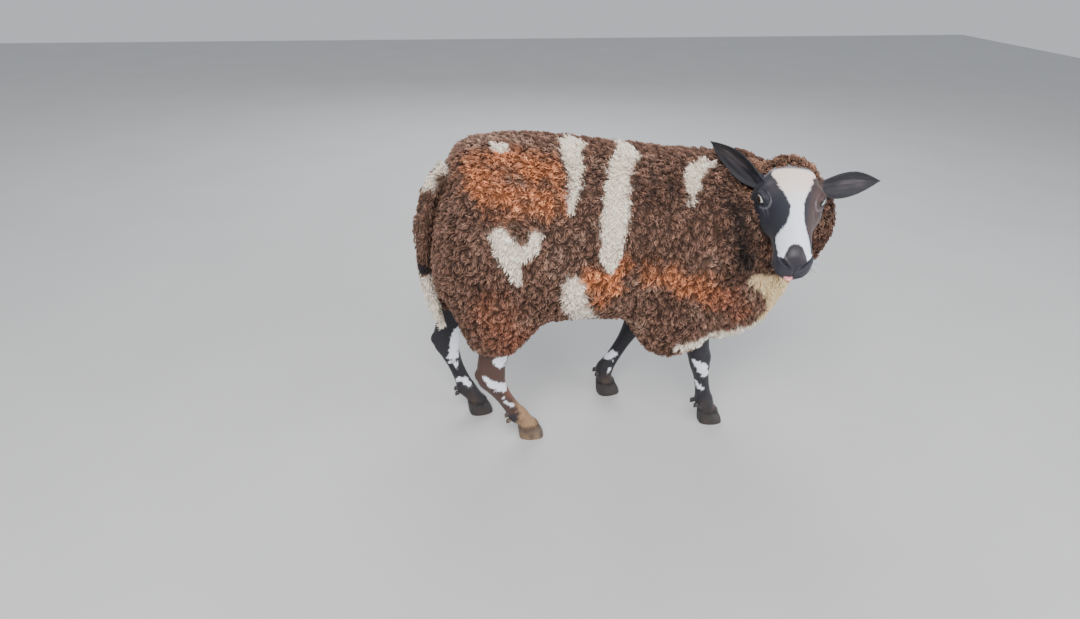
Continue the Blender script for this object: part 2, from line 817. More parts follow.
LEG_MARKS = (
    Mark(Shade.WHITE, ((257, -127, 226, 9), (276, -125, 204, 13), (290, -118, 186, 9)), 1.5, 6),
    Mark(Shade.WHITE, ((272, -106, 152, 6), (278, -108, 138, 9), (292, -109, 128, 7)), 1.5, 5),
    Mark(Shade.DARK_BROWN, ((-290, -96, 380, 60), (-270, -94, 255, 50), (-250, -90, 190, 45),
         (-215, -70, 125, 36)), 10, 6),
    Mark(Shade.RED_BROWN, ((-226, -86, 215, 16), (-215, -76, 165, 18)), 10, 5),
    Mark(Shade.OCHRE, ((-186, -67, 122, 20), (-166, -55, 62, 36)), 12, 10),
    Mark(Shade.WHITE, ((-286, -118, 334, 10), (-248, -124, 328, 16), (-240, -117, 286, 18)), 1.5, 8),
    Mark(Shade.WHITE, ((-280, -114, 236, 7), (-257, -110, 206, 12), (-230, -98, 196, 12)), 1.5, 7),
    Mark(Shade.WHITE, ((-233, -91, 160, 5), (-226, -91, 142, 6), (-208, -85, 126, 4)), 1.5, 4),
    Mark(Shade.WHITE, ((97, 100, 124, 9), (110, 90, 136, 13)), 1.5, 6),
    Mark(Shade.WHITE, ((101, 83, 88, 6),), 1.5, 4),
    Mark(Shade.WHITE, ((-316, 86, 272, 10), (-326, 82, 228, 17), (-336, 84, 190, 15),
         (-328, 80, 156, 8)), 1.5, 8),
    Mark(Shade.WHITE, ((-324, 74, 112, 8), (-300, 76, 104, 12)), 1.5, 6),
)


def marked(base: Array, marks: tuple[Mark, ...], points: Array) -> Array:
    """The base colours with all the marks over them, in order, and the ginger ones mottled."""
    for mark in marks:
        amount = mark.share(points)
        if mark.shade in (Shade.GINGER, Shade.RUST):
            amount = amount * (0.72 + 0.28 * noise(points, 0.030, 14))
        base = blend(base, mark.shade, amount)
    return base


def wool_colours(points: Array) -> Array:
    """The wool's linear colour at each place of the body, the same on the skin and on the locks."""
    drift = noise(points, 0.070, 11) * 0.6 + noise(points, 0.028, 12) * 0.4
    base = plain(Shade.CHOCOLATE, len(points))
    base = blend(base, Shade.UMBER, smooth_step(0.05, 0.7, drift) * 0.8)
    base = blend(base, Shade.GREY_BROWN, smooth_step(0.05, 0.7, -drift) * 0.55)
    dark_neck = smooth_step(0.24, 0.30, points[:, 0]) * smooth_step(0.42, 0.52, points[:, 2])
    return marked(blend(base, Shade.UMBER, dark_neck * 0.55), WOOL_MARKS, points)


def tail_colours(points: Array) -> Array:
    """The wool's colour at each place of the tail."""
    return marked(plain(Shade.CHOCOLATE, len(points)), TAIL_MARKS, points)


def leg_colours(points: Array) -> Array:
    """The lower legs' colours: black hair with white, brown and muddy places."""
    mud = (1 - smooth_step(0.02, 0.11, points[:, 2])) * (0.30 + 0.35 * noise(points, 0.018, 31))
    return blend(marked(plain(Shade.BLACK, len(points)), LEG_MARKS, points), Shade.MUD, mud * 0.5)


@dataclass(frozen=True)
class Limb:
    """One tube of the fleece's outline, by rows of its centre, half depth and half width."""

    name: str
    rows: Rows
    caps: tuple[float, float]
    left_shift: float = 0.0

    def form(self, side: Side = Side.RIGHT, sides: int = 20, steps: int = 3, power: float = 2.2) -> Piece:
        """The tube, mirrored and shifted along X for the left side."""
        rows = self.rows
        if side is Side.LEFT:
            rows = [(x + self.left_shift, -y, z, deep, wide) for x, y, z, deep, wide in rows]
        return tube(f"{self.name}_form", rows, self.caps, sides, steps, power)


# Each row has x, the top, the bottom and the half width.
TORSO_ROWS = mm(
    (-374, 672, 455, 128), (-345, 737, 385, 174), (-285, 780, 348, 202), (-195, 790, 345, 208),
    (-95, 782, 342, 205), (10, 767, 338, 204), (110, 752, 325, 202), (210, 742, 290, 195),
    (300, 735, 255, 183), (375, 705, 250, 162), (445, 655, 292, 130), (500, 590, 340, 92),
)
TORSO = Limb(
    "torso",
    [(x, 0.0, (top + low) / 2, (top - low) / 2, wide) for x, top, low, wide in TORSO_ROWS],
    (0.012, 0.030),
)
NECK = Limb("neck", mm(
    (200, 0, 565, 165, 165), (310, -4, 556, 180, 160), (400, -34, 566, 178, 156),
    (426, -84, 600, 152, 138), (416, -130, 653, 108, 106),
), (0.05, 0.045))
THIGH = Limb("thigh", mm(
    (-235, -95, 560, 150, 105), (-240, -108, 450, 130, 92), (-252, -106, 375, 98, 76),
    (-262, -100, 325, 66, 58),
), (0.08, 0.026), -0.05)
ARM = Limb("arm", mm(
    (190, -85, 500, 140, 100), (185, -105, 405, 132, 92), (188, -112, 335, 112, 80),
    (200, -112, 285, 78, 58),
), (0.08, 0.028), -0.02)
TAIL = Limb("tail", mm(
    (-338, 0, 716, 24, 34), (-378, 0, 668, 21, 33), (-397, 1, 588, 18, 30), (-401, 2, 507, 17, 28),
    (-394, 3, 430, 16, 27), (-379, 4, 370, 15, 25), (-368, 4, 335, 10, 17),
), (0.01, 0.014))
SCROTUM = Limb("scrotum", mm(
    (-245, 0, 440, 30, 28), (-248, 0, 380, 38, 38), (-248, 0, 320, 47, 48),
), (0.015, 0.04))


@dataclass(frozen=True)
class FleeceForm:
    """The fleece's outline to the tips of the wool, from the part's own named sizes."""

    cheek: tuple[Row, Row] = ((0.283, -0.135, 0.570), (0.100, 0.088, 0.130))
    voxel: float = 0.014
    smoothing: int = 6
    creases: tuple[tuple[Rows, float, float], ...] = (
        (((-205, -190, 700), (-190, -200, 650), (-165, -205, 600)), 7, 8),
        (((-75, -170, 420), (-10, -190, 462), (61, -189, 454), (134, -189, 442)), 9, 10),
        (((225, -195, 640), (235, -205, 560), (260, -215, 490)), 8, 9),
        (((262, -190, 655), (272, -215, 580), (295, -225, 510)), 9, 9),
        (((192, -195, 620), (198, -200, 560), (215, -200, 500)), 7, 8),
        (((-335, 60, 700), (-375, 95, 620), (-365, 110, 540), (-340, 120, 470)), 30, 55),
        (((333, -153, 725), (325, -138, 686), (330, -130, 641), (338, -136, 592)), 18, 34),
        (((445, -196, 729), (463, -192, 690), (468, -184, 646), (461, -183, 596)), 10, 22),
        (((455, -105, 400), (400, -110, 340), (330, -130, 310)), -22, 58),
    )
    deepest: float = 0.032

    def sinking(self, points: Array) -> Array:
        """How far skin and wool stay under the outline at each place, for folds in the fleece."""
        low = 0.0022 * (1 + noise(points, 0.055, 41))
        for chain, deep, wide in self.creases:
            low = low + deep / 1000 * bell(gap_to(points, mm(*chain)), wide / 1000)
        return np.minimum(low, self.deepest)

    def body(self) -> Piece:
        """The whole fleece's outline as one closed mesh."""
        pieces = [
            TORSO.form(sides=28, power=2.35),
            NECK.form(sides=24),
            ellipsoid("cheek_form", *self.cheek, rings=12, sides=20),
        ]
        for side in Side:
            pieces += [THIGH.form(side), ARM.form(side)]
        return remeshed(joined("fleece_form", pieces), self.voxel, self.smoothing)


@dataclass(frozen=True)
class LockStyle:
    """How the locks of one stretch of wool grow. Lengths in metres.

    Each lock starts `depth` under the outline, curls by `curl` over `turns` turns, leans by `lie` and hooks
    back by `hook`. Locks gather by the share `gather` into staples that are `staple` apart, rise by `dome`
    to each staple's middle and are `uneven` from one to the next, up to `highest`. The shades are shares of
    the wool's colour at root and tip, and in a staple's heart and the gaps.
    """

    spacing: float = 0.0030
    depth: float = 0.0160
    thickness: float = 0.00125
    curl: float = 0.0022
    turns: float = 1.10
    lie: float = 0.0092
    hook: float = 0.0022
    staple: float = 0.0110
    gather: float = 0.20
    dome: float = 0.0034
    uneven: float = 0.0016
    highest: float = 0.0034
    root_shade: float = 0.22
    tip_shade: float = 1.66
    heart_shade: float = 1.36
    gap_shade: float = 0.60
    rings: tuple[float, ...] = (0.0, 0.56, 0.82)
    profile: tuple[float, ...] = (0.90, 1.20, 0.95)


BODY_LOCKS = LockStyle()
POLL_LOCKS = LockStyle(spacing=0.0029, depth=0.0190, lie=0.0060)
TAIL_LOCKS = LockStyle(
    spacing=0.0034, depth=0.0070, thickness=0.0010, curl=0.0014, turns=0.8, lie=0.0130, hook=0.0008,
    staple=0.012, dome=0.0014, uneven=0.0008,
)
SCROTUM_LOCKS = LockStyle(
    spacing=0.0042, depth=0.0050, thickness=0.0010, curl=0.0014, turns=0.8, lie=0.0060, hook=0.0008,
    staple=0.014, dome=0.0012, uneven=0.0006,
)


class Locks:
    """Curly locks of wool over one form, joined into meshes from arrays."""

    sides = 3

    def __init__(self, style: LockStyle, form: Surface, seed: int) -> None:
        """Spreads the roots and the staples that the locks gather into.

        Args:
            style: How the locks grow.
            form: The outline that their tips reach.
            seed: Which spread.
        """
        self.style = style
        self.form = form
        self.rng = np.random.default_rng(seed)
        self.spots, self.normals = form.spread(style.spacing, seed)
        self.centres, _ = form.spread(style.staple, seed + 1)

    def keep(self, chosen: Array) -> None:
        """Drops the roots that aren't chosen."""
        self.spots, self.normals = self.spots[chosen], self.normals[chosen]

    def grow(
        self, low: Array, straight: Array | float = 1.0, stout: Array | float = 1.0
    ) -> None:
        """Works out every lock's points.

        Args:
            low: How far each root and tip stay under the form, for folds in the wool, and less than 0 for
                longer locks.
            straight: A share of the style's curl for each lock.
            stout: A share of the style's thickness for each lock.
        """
        style, rng = self.style, self.rng
        count = len(self.spots)
        near = KDTree(len(self.centres))
        for i, p in enumerate(self.centres.tolist()):
            near.insert(p, i)
        near.balance()
        owner = np.array([near.find(p)[1] for p in self.spots.tolist()])
        to_centre = flat_on(self.centres[owner] - self.spots, self.normals)
        off = np.linalg.norm(to_centre, axis=1) / (style.staple * 0.62)
        staples = len(self.centres)
        staple_rise = rng.normal(0, style.uneven, staples)[owner]
        staple_turn = rng.normal(0, 0.70, staples)[owner]
        down = flat_on(np.tile([-0.35, 0.0, -1.0], (count, 1)), self.normals)
        steep = np.linalg.norm(down, axis=1)
        down += flat_on(np.tile([-0.5, 0.05, 0.0], (count, 1)), self.normals) * (1 - steep)[:, None].clip(0)
        lie = turned(unit(down), self.normals, staple_turn + rng.normal(0, 0.30, count))
        longer = np.maximum(-low, 0)
        height = staple_rise - style.dome * np.clip(off, 0, 1.2) ** 2 + longer + rng.normal(0, 0.0012, count)
        height = np.minimum(height, style.highest + longer)
        base = self.spots - self.normals * (style.depth + np.maximum(low, 0))[:, None]
        across = np.cross(self.normals, lie)
        phase = rng.uniform(0, math.tau, staples)[owner] + rng.normal(0, 0.55, count)
        hand = rng.choice((-1.0, 1.0), staples)[owner]
        turns = style.turns * rng.uniform(0.8, 1.2, staples)[owner] * rng.uniform(0.9, 1.1, count) * hand
        curl = style.curl * rng.uniform(0.7, 1.3, count) * straight
        inside = 1 - np.clip(off, 0, 1.1) ** 2 / 1.21
        self.shine = rng.lognormal(0.0, 0.20, staples)[owner] * rng.lognormal(0.0, 0.16, count)
        self.shine *= style.gap_shade + (style.heart_shade - style.gap_shade) * inside
        thick = style.thickness * rng.uniform(0.75, 1.30, count) * stout
        reach = style.lie * rng.uniform(0.6, 1.3, count)
        spine = []
        for t in (*style.rings, 1.03):
            rise = (style.depth + height) * min(t, 1.0) - style.hook * max(0.0, t - 0.8) * 4
            swing = curl * float(smooth_step(0.15, 0.7, np.array(t)))
            angle = phase + math.tau * turns * t
            spine.append(
                base
                + self.normals * rise[:, None]
                + lie * (reach * t**2.2 + swing * np.cos(angle))[:, None]
                + across * (swing * np.sin(angle))[:, None]
                + to_centre * (style.gather * t**1.5)
            )
        path = np.stack(spine, axis=1)
        rings = len(style.rings)
        points = np.empty((count, rings * self.sides + 1, 3))
        for k in range(rings):
            ahead = unit(path[:, k + 1] - path[:, max(k - 1, 0)])
            side = unit(np.cross(ahead, lie + 0.3 * across))
            other = np.cross(ahead, side)
            for j in range(self.sides):
                angle = math.tau * j / self.sides
                offset = side * math.cos(angle) + other * math.sin(angle)
                points[:, k * self.sides + j] = path[:, k] + offset * (thick * style.profile[k])[:, None]
        points[:, -1] = path[:, -1]
        self.points = points
        self.along = np.array([t for t in style.rings for _ in range(self.sides)] + [1.0])

    def triangles(self) -> Array:
        """One lock's triangles, as numbers of its own points."""
        s, rings = self.sides, len(self.style.rings)
        faces = [(0, 2, 1)]
        for a, b, c, d in quads(rings, s):
            faces += [(a, b, c), (a, c, d)]
        faces += [((rings - 1) * s + j, (rings - 1) * s + (j + 1) % s, rings * s) for j in range(s)]
        return np.array(faces)

    def piece(self, name: str, chosen: Array, colours: Array, maps: Array, finish: Material) -> Piece:
        """One mesh of the chosen locks.

        Args:
            name: The piece's name.
            chosen: Which locks it has.
            colours: The wool's colour at every root.
            maps: Where every root lies on the unwrap.
            finish: The wool's material.

        Returns:
            The piece, with its colours and its map.
        """
        pale = smooth_step(0.25, 0.50, colours[chosen].mean(axis=1))[:, None, None]
        light = self.shine[chosen][:, None, None]
        light = light * (1 - pale) + (0.85 + 0.15 * light) * pale
        along, root = self.along[None, :, None], self.style.root_shade
        fade = root + (self.style.tip_shade - root) * along**1.8
        fade = fade * (1 - pale) + (0.80 + 0.25 * along) * pale
        shade = colours[chosen][:, None, :] * light * fade
        grey = Shade.GREY_BROWN.linear * 1.25
        bleached = 0.30 * along**3 * (1 - pale)
        shade = shade * (1 - bleached) + grey * shade.mean(axis=2, keepdims=True) / grey.mean() * bleached
        patch = np.stack((np.arange(len(self.along)) % self.sides / self.sides, self.along), axis=1)
        colours = np.minimum(shade, 0.95)
        return strands(name, self.points[chosen], self.triangles(), colours, maps[chosen], patch, finish)


@dataclass(frozen=True)
class HeadShape:
    """The head and ears in the head's own frame: +X to the nose, +Y to its left, +Z up its forehead.

    Rows are read as in `ring`. A bump has distance from the nose, out, up, reach and height. A fold of the
    lids has height, place and width in half eyes, and 1 for the upper lid. A tear fold has its start, its
    end and its depth, from the eye's middle.
    """

    place: Row = (0.377, -0.210, 0.680)
    yaw: float = -110.5
    pitch: float = 21.5
    roll: float = 1.8
    nose: float = 0.165
    rows: Rows = (
        (0.0, -0.024, -0.068, 0.023, 0.1, 0.1), (0.006, -0.014, -0.082, 0.031, 0.12, 0.12),
        (0.018, -0.005, -0.09, 0.037, 0.18, 0.16), (0.034, 0.001, -0.09, 0.039, 0.28, 0.22),
        (0.055, 0.008, -0.085, 0.0385, 0.34, 0.28), (0.085, 0.017, -0.084, 0.041, 0.34, 0.34),
        (0.115, 0.026, -0.092, 0.048, 0.28, 0.38), (0.145, 0.034, -0.104, 0.059, 0.2, 0.38),
        (0.17, 0.04, -0.116, 0.066, 0.12, 0.34), (0.2, 0.043, -0.124, 0.0665, 0.1, 0.3),
        (0.23, 0.04, -0.116, 0.06, 0.1, 0.26), (0.258, 0.028, -0.094, 0.05, 0.1, 0.2),
    )
    caps: tuple[float, float] = (0.004, 0.020)
    squareness: float = 2.35
    bumps: Rows = mm(
        (170, 54, 26, 20, 7.5), (168, 60, 2, 22, 7), (132, 50, -8, 12, -4), (125, 50, -36, 18, 3),
        (198, 62, -72, 38, 9), (206, 66, -20, 30, 11), (160, 58, -60, 30, 6), (220, 46, 34, 22, 8),
        (14, 29, -32, 11, 4), (28, 34, -56, 13, 3), (22, 12, -84, 12, 3),
    )
    axis_z: float = -0.03
    eye_place: Row = (0.000, 0.0575, 0.003)
    eye_radius: float = 0.0145
    eye_turn: tuple[float, float] = (30.0, 8.0)
    eye_half: tuple[float, float] = (0.0150, 0.0112)
    orbit: Row = (0.0225, 0.0185, 0.0130)
    orbit_in: float = 0.0035
    lid: Row = (0.0130, 0.0098, 0.0024)
    lid_skin: float = 0.0018
    lid_folds: Rows = (
        (-0.0013, 1.42, 0.085, 1), (0.0008, 1.62, 0.10, 1), (-0.0007, 1.86, 0.08, 1),
        (-0.0009, 1.40, 0.08, 0), (-0.0007, 1.72, 0.08, 0),
    )
    tear_folds: Rows = (
        (0.017, -0.004, 0.046, -0.018, 0.0011), (0.013, -0.010, 0.040, -0.027, 0.0009),
        (0.006, -0.014, 0.026, -0.028, 0.0007),
    )
    opening: Row = (0.0116, 0.0084)
    opening_depths: Row = (0.002, 0.012, 0.030)
    mouth_back: float = 0.066
    mouth_depth: float = 0.0050
    mouth_half: float = 0.0009
    mouth_front_z: float = -0.0690
    mouth_back_z: float = -0.0610
    tongue: Row = (0.008, -0.0065, -0.0700)
    tongue_size: Row = (0.0150, 0.0105, 0.0036)
    nostril: Rows = mm((14, 30, -24.5), (5.5, 26.2, -26.2), (-0.5, 19, -31.5), (-2.5, 11, -40))
    nostril_sizes: Rows = mm((3, 1), (7, 3.6), (7, 3.4), (3.2, 1.2))
    ear_length: float = 0.150
    ear_width: float = 0.068
    ear_thick: float = 0.0050
    ear_edge: float = 0.0032
    ear_plug: Row = (0.028, 0.0150, 0.0105)
    ear_plug_behind: float = 0.0060
    ear_broadest: float = 0.38
    ears: tuple[Rows, Rows] = (
        ((-0.050, -0.056, 0.000), (-0.46, -0.82, 0.33), (0.85, -0.42, 0.06)),
        ((-0.046, 0.056, -0.001), (-0.22, 0.970, -0.05), (0.86, -0.13, 0.30)),
    )
    voxel: float = 0.00150
    most_triangles: int = 80000

    def matrix(self) -> Matrix:
        """From the head's frame to the ram's."""
        yaw = Matrix.Rotation(math.radians(self.yaw), 4, "Z")
        pitch = Matrix.Rotation(math.radians(self.pitch), 4, "Y")
        roll = Matrix.Rotation(math.radians(self.roll), 4, "X")
        return Matrix.Translation(self.place) @ yaw @ pitch @ roll

    def local(self, points: Array) -> Array:
        """Places of the ram, in the head's frame."""
        back = np.array(self.matrix().inverted())
        return points @ back[:3, :3].T + back[:3, 3]

    def bearings(self, at: Array) -> tuple[Array, Array]:
        """How far behind the nose each place is, and its angle from the top towards the left, in degrees."""
        return self.nose - at[:, 0], np.degrees(np.arctan2(at[:, 1], at[:, 2] - self.axis_z))

    def eye_frame(self, side: Side) -> tuple[Vector, Vector, Vector, Vector]:
        """Centre and outward, forward and upward directions of an eye."""
        ahead, up = (math.radians(a) for a in self.eye_turn)
        out = Vector((math.sin(ahead), side.sign * math.cos(ahead) * math.cos(up), math.sin(up))).normalized()
        forward = square_to(Vector((1, 0, 0)), out)
        x, y, z = self.eye_place
        return Vector((x, side.sign * y, z)), out, forward, out.cross(forward) * -side.sign

    def eye_view(self, at: Array, side: Side) -> tuple[Array, Array, Array]:
        """How far ahead of an eye and above it each place is, in half sizes of the eye, and how far out."""
        centre, out, forward, rise = (np.array(v) for v in self.eye_frame(side))
        rel = at - centre
        return rel @ forward / self.eye_half[0], rel @ rise / self.eye_half[1], rel @ out

    def ear_frame(self, side: Side) -> tuple[Vector, Vector, Vector, Vector]:
        """Root of an ear, and its directions to the tip, across, and out of the cup."""
        root, along, face = (Vector(v) for v in self.ears[side is Side.LEFT])
        along.normalize()
        face = square_to(face, along)
        return root, along, along.cross(face), face

    def nostril_path(self, side: Side) -> list[Array]:
        """The middle line of a nostril."""
        return [np.array([self.nose - back, side.sign * out, up]) for back, out, up in self.nostril]

    def ring(self, row: Row, sides: int) -> list[Vector]:
        """One section of the head.

        Args:
            row: Distance from the nose, top, bottom, half width, and how much the top and jaw narrow.
            sides: Points round it.

        Returns:
            The section's points.
        """
        back, top, low, width, narrow_top, narrow_jaw = row
        middle, half = (top + low) / 2, (top - low) / 2
        made = []
        for up, out in superellipse(sides, self.squareness):
            keep = 1 - (narrow_top if up > 0 else narrow_jaw) * up * up
            made.append(Vector((self.nose - back, out * width * keep, middle + up * half)))
        return made

    def swell(self, points: Array) -> Array:
        """Moves places in the head's frame in or out by its soft swellings, on both sides."""
        axis = points * np.array([1.0, 0.0, 0.0]) + np.array([0.0, 0.0, self.axis_z])
        move = np.zeros(len(points))
        for back, out, up, reach, height in self.bumps:
            for side in Side:
                gap = np.linalg.norm(points - np.array([self.nose - back, side.sign * out, up]), axis=1)
                move += height * bell(gap, reach)
        return points + unit(points - axis) * move[:, None]

    def skull(self, sides: int, steps: int) -> Piece:
        """The bare head without eyes, ears or openings.

        Args:
            sides: Points round a section.
            steps: Sections between each pair of rows.

        Returns:
            The head.
        """
        rings = [self.ring(row, sides) for row in curve(self.rows, steps)]
        nose, poll = (sum(rings[k], Vector()) / sides for k in (0, -1))
        end = Vector((-self.caps[1], 0, 0))
        rings += [shrunk(rings[-1], poll, end, a) for a in CAP_ANGLES]
        points, faces = capped(rings, nose + Vector((self.caps[0], 0, 0)), poll + end)
        return mesh_object("skull", self.swell(np.array([tuple(p) for p in points])), faces)

    def poll_form(self) -> Piece:
        """The outline of the wool on the poll, which rises from the skin behind the hairline."""
        form = self.skull(64, 6)
        points = points_of(form)
        back, angle = self.bearings(points)
        cheek = smooth_step(62, 95, np.abs(angle)) * (1 - smooth_step(0.235, 0.26, back))
        rise = 0.018 * smooth_step(0.212, 0.246, back) * (1 - cheek) + 0.002
        move_points(form, points + normals_of(form) * rise[:, None])
        form.data.transform(self.matrix())
        return form

    def flesh_of_eye(self, side: Side) -> list[Piece]:
        """The mound that the eyeball sits in, and the two lids as one closed almond of flesh."""
        centre, out, forward, rise = self.eye_frame(side)
        mound = ellipsoid("orbit", centre - out * self.orbit_in, self.orbit, axes(forward, rise, out))
        shell = ellipsoid("shell", centre, (self.eye_radius + self.lid_skin,) * 3, rings=24, sides=36)
        long, high, thick = self.lid
        count, sides = 48, 12
        points = []
        for i in range(count):
            c, s = math.cos(math.tau * i / count), math.sin(math.tau * i / count)
            corner = abs(c) ** 6
            ahead = forward * long * c * (1.0 + (0.16 if c > 0 else 0.05) * corner)
            flat = ahead + rise * (high * s - 0.0012 * corner * max(0.0, c))
            depth = math.sqrt(max(self.eye_radius**2 - flat.length_squared, (0.35 * self.eye_radius) ** 2))
            away, fat = flat.normalized(), thick * (1.0 + 0.35 * max(0.0, s))
            for j in range(sides):
                around = math.tau * j / sides
                swell = (away * math.cos(around) + out * math.sin(around)) * fat
                points.append(centre + flat + out * depth + swell)
        faces = [tuple(n % len(points) for n in face) for face in quads(count + 1, sides)]
        return [mound, shell, mesh_object("lids", points, faces)]

    def eye_slit(self, side: Side) -> Piece:
        """The almond between the lids, cut straight out from the eyeball."""
        centre, out, forward, rise = self.eye_frame(side)
        long, high = self.opening
        first, _, last = self.opening_depths
        rings = []
        for depth in self.opening_depths:
            flare = 1.10 if depth == last else 1.0
            ring = []
            for j in range(40):
                c, s = math.cos(math.tau * j / 40), math.sin(math.tau * j / 40)
                height = high * s * abs(s) ** 0.12 - 0.0010 * max(0.0, c) ** 3
                spot = forward * (long * c * (1 + 0.06 * abs(c) ** 5)) + rise * height
                ring.append(centre + spot * flare + out * depth)
            rings.append(ring)
        return mesh_object("slit", *capped(rings, centre + out * first, centre + out * last))

    def ear(self, side: Side, lengthwise: int, crosswise: int) -> list[Piece]:
        """A leaf-shaped cup, rolled into a tube at its root, and the funnel at its root.

        Args:
            side: Which ear.
            lengthwise: Steps from root to tip.
            crosswise: Steps from edge to edge.

        Returns:
            The cup and the funnel.
        """
        root, along, across, face = self.ear_frame(side)
        inner, outer = [], []
        for i in range(lengthwise + 1):
            u = i / lengthwise
            swelling = 0.52 + 0.48 * math.sin(math.pi / 2 * min(1.0, u / self.ear_broadest))
            taper = 1 - max(0.0, (u - self.ear_broadest) / (1 - self.ear_broadest)) ** 2.0
            wide = max(self.ear_width / 2 * swelling * taper, 0.0022)
            roll = math.radians(158 - 66 * min(1.0, u / 0.6) ** 0.9 - 26 * u)
            thick = self.ear_thick + (self.ear_edge - self.ear_thick) * u
            bow = -0.010 * math.sin(math.pi * u) - 0.012 * u * u
            spine = root + along * (self.ear_length * u) + face * bow
            radius = wide / max(roll / 2, 0.05)
            for j in range(crosswise + 1):
                v = 2 * j / crosswise - 1
                a = v * roll / 2
                normal = face * math.cos(a) - across * math.sin(a)
                middle = spine + (across * math.sin(a) - face * (math.cos(a) - 1)) * radius
                half = thick * (1 - 0.30 * v * v) / 2
                ridge = 0.0009 * math.cos(v * 13) * math.sin(math.pi * u) * (1 - v * v)
                inner.append(middle + normal * (half + ridge))
                outer.append(middle - normal * half)
        count, total = crosswise + 1, len(inner)
        faces = []
        for a, b, c, d in quads(lengthwise + 1, count, closed=False):
            faces += [(a, b, c, d), (total + a, total + d, total + c, total + b)]
        root_row, tip_row = list(range(count)), list(range(total - count, total))
        left_edge, right_edge = list(range(0, total, count)), list(range(crosswise, total, count))
        for edge in (root_row, tip_row, left_edge, right_edge):
            faces += [(a, b, total + b, total + a) for a, b in zip(edge, edge[1:])]
        funnel = root + along * 0.002 - face * self.ear_plug_behind
        plug = ellipsoid("plug", funnel, self.ear_plug, axes(along, across, face))
        return [mesh_object("ear", inner + outer, faces), plug]

    def nostril_cutter(self, side: Side) -> Piece:
        """The slanting slit of a nostril, from high outside to low near the middle."""
        path = curve([(*spot, *size) for spot, size in zip(self.nostril_path(side), self.nostril_sizes)], 6)
        centres = [Vector(p[:3]) for p in path]
        rings = []
        for i, p in enumerate(path):
            tangent = heading(centres, i)
            inward = square_to(Vector((-1.0, -0.25 * side.sign, -0.1)), tangent)
            rings.append(section(centres[i], inward * p[3], tangent.cross(inward) * p[4], 14, 2.0))
        return mesh_object("nostril", *capped(rings, centres[0], centres[-1]))

    def mouth_cutter(self) -> Piece:
        """The line of the mouth: a thin wedge round the muzzle from corner to corner."""
        steps, width, front = 48, 0.040, self.nose + 0.004
        rings = []
        for i in range(steps + 1):
            angle = math.pi * (i / steps - 0.5)
            share = 1 - math.cos(angle)
            back = self.mouth_back * share
            rise = self.mouth_front_z + (self.mouth_back_z - self.mouth_front_z) * share
            outer = Vector((front - back + 0.004, width * math.sin(angle) * 1.15, rise))
            inner = Vector((front - back - self.mouth_depth - 0.010, (width - 0.013) * math.sin(angle), rise))
            tall = Vector((0, 0, self.mouth_half))
            rings.append([outer + tall * 1.6, inner + tall * 0.4, inner - tall * 0.4, outer - tall * 1.6])
        return mesh_object("mouth", *capped(rings, *(sum(rings[k], Vector()) / 4 for k in (0, -1))))

    def mouth_height(self, back: Array) -> Array:
        """How high the line of the mouth is, this far behind the nose."""
        share = np.clip((back + 0.004) / self.mouth_back, 0, 1)
        return self.mouth_front_z + (self.mouth_back_z - self.mouth_front_z) * share

    def folds(self, obj: Piece) -> None:
        """Shapes the lips, the nostrils' rims, the groove of the lip and the folds about the eyes."""
        points, normals = points_of(obj), normals_of(obj)
        back = self.nose - points[:, 0]
        above = points[:, 2] - self.mouth_height(back)
        line = bell(above, 0.0016) * (1 - smooth_step(0.056, 0.068, back))
        lips = bell(np.abs(above) - 0.0042, 0.0026) * (1 - smooth_step(0.050, 0.068, back))
        move = (1 - smooth_step(0.060, 0.085, back)) * (lips * 0.0010 - line * 0.0014)
        groove = bell(points[:, 1], 0.0013) * within(points[:, 2], (-0.069, -0.066), (-0.046, -0.040))
        move -= groove * (1 - smooth_step(0.006, 0.014, back)) * 0.0022
        for side in Side:
            near = gap_to(points, self.nostril_path(side))
            move += 0.0016 * bell(near - 0.0058, 0.0026) * (back < 0.06)
            move += self.eye_folds(points, side)
        move_points(obj, points + normals * move[:, None])

    def eye_folds(self, points: Array, side: Side) -> Array:
        """How far the skin rises in the folds about an eye and in those down from its inner corner."""
        ahead, raised, away = self.eye_view(points, side)
        upper, lower = smooth_step(-0.1, 0.5, raised), 1 - smooth_step(-0.4, 0.1, raised)
        facing = smooth_step(-0.004, 0.004, away)
        move = np.zeros(len(points))
        for height, reach, wide, over in self.lid_folds:
            move += facing * (upper if over else lower) * height * bell(np.hypot(ahead, raised) - reach, wide)
        centre, out, forward, rise = (np.array(v) for v in self.eye_frame(side))
        on_side = (away > -0.014) & (np.sign(points[:, 1]) == side.sign)
        for start_x, start_z, end_x, end_z, deep in self.tear_folds:
            start, end = (centre + forward * x + rise * z for x, z in ((start_x, start_z), (end_x, end_z)))
            share, off = on_segment(points, start, end)
            gap = np.linalg.norm(flat_on(off, np.tile(out, (len(points), 1))), axis=1)
            fade = deep * np.sin(np.pi * np.clip(share, 0.02, 0.98)) * on_side
            move += fade * (0.7 * bell(gap - 0.0034, 0.0016) - bell(gap, 0.0016))
        return move

    def flesh(self) -> Piece:
        """The whole head with ears, lids, lips, nostrils and folds, placed on the ram."""
        pieces = [self.skull(192, 12)]
        for side in Side:
            pieces += self.flesh_of_eye(side) + self.ear(side, 60, 20)
        head = remeshed(joined("head_flesh", pieces), self.voxel, 2)
        self.folds(head)
        for side in Side:
            cut(head, self.nostril_cutter(side))
            cut(head, self.eye_slit(side))
            centre = self.eye_frame(side)[0]
            cut(head, ellipsoid("socket", centre, (self.eye_radius + 0.0002,) * 3, rings=32, sides=48))
        cut(head, self.mouth_cutter())
        fewer = head.modifiers.new("fewer", "DECIMATE")
        fewer.ratio = min(1.0, self.most_triangles / triangle_count(head))
        freeze(head)
        head.data.transform(self.matrix())
        return head


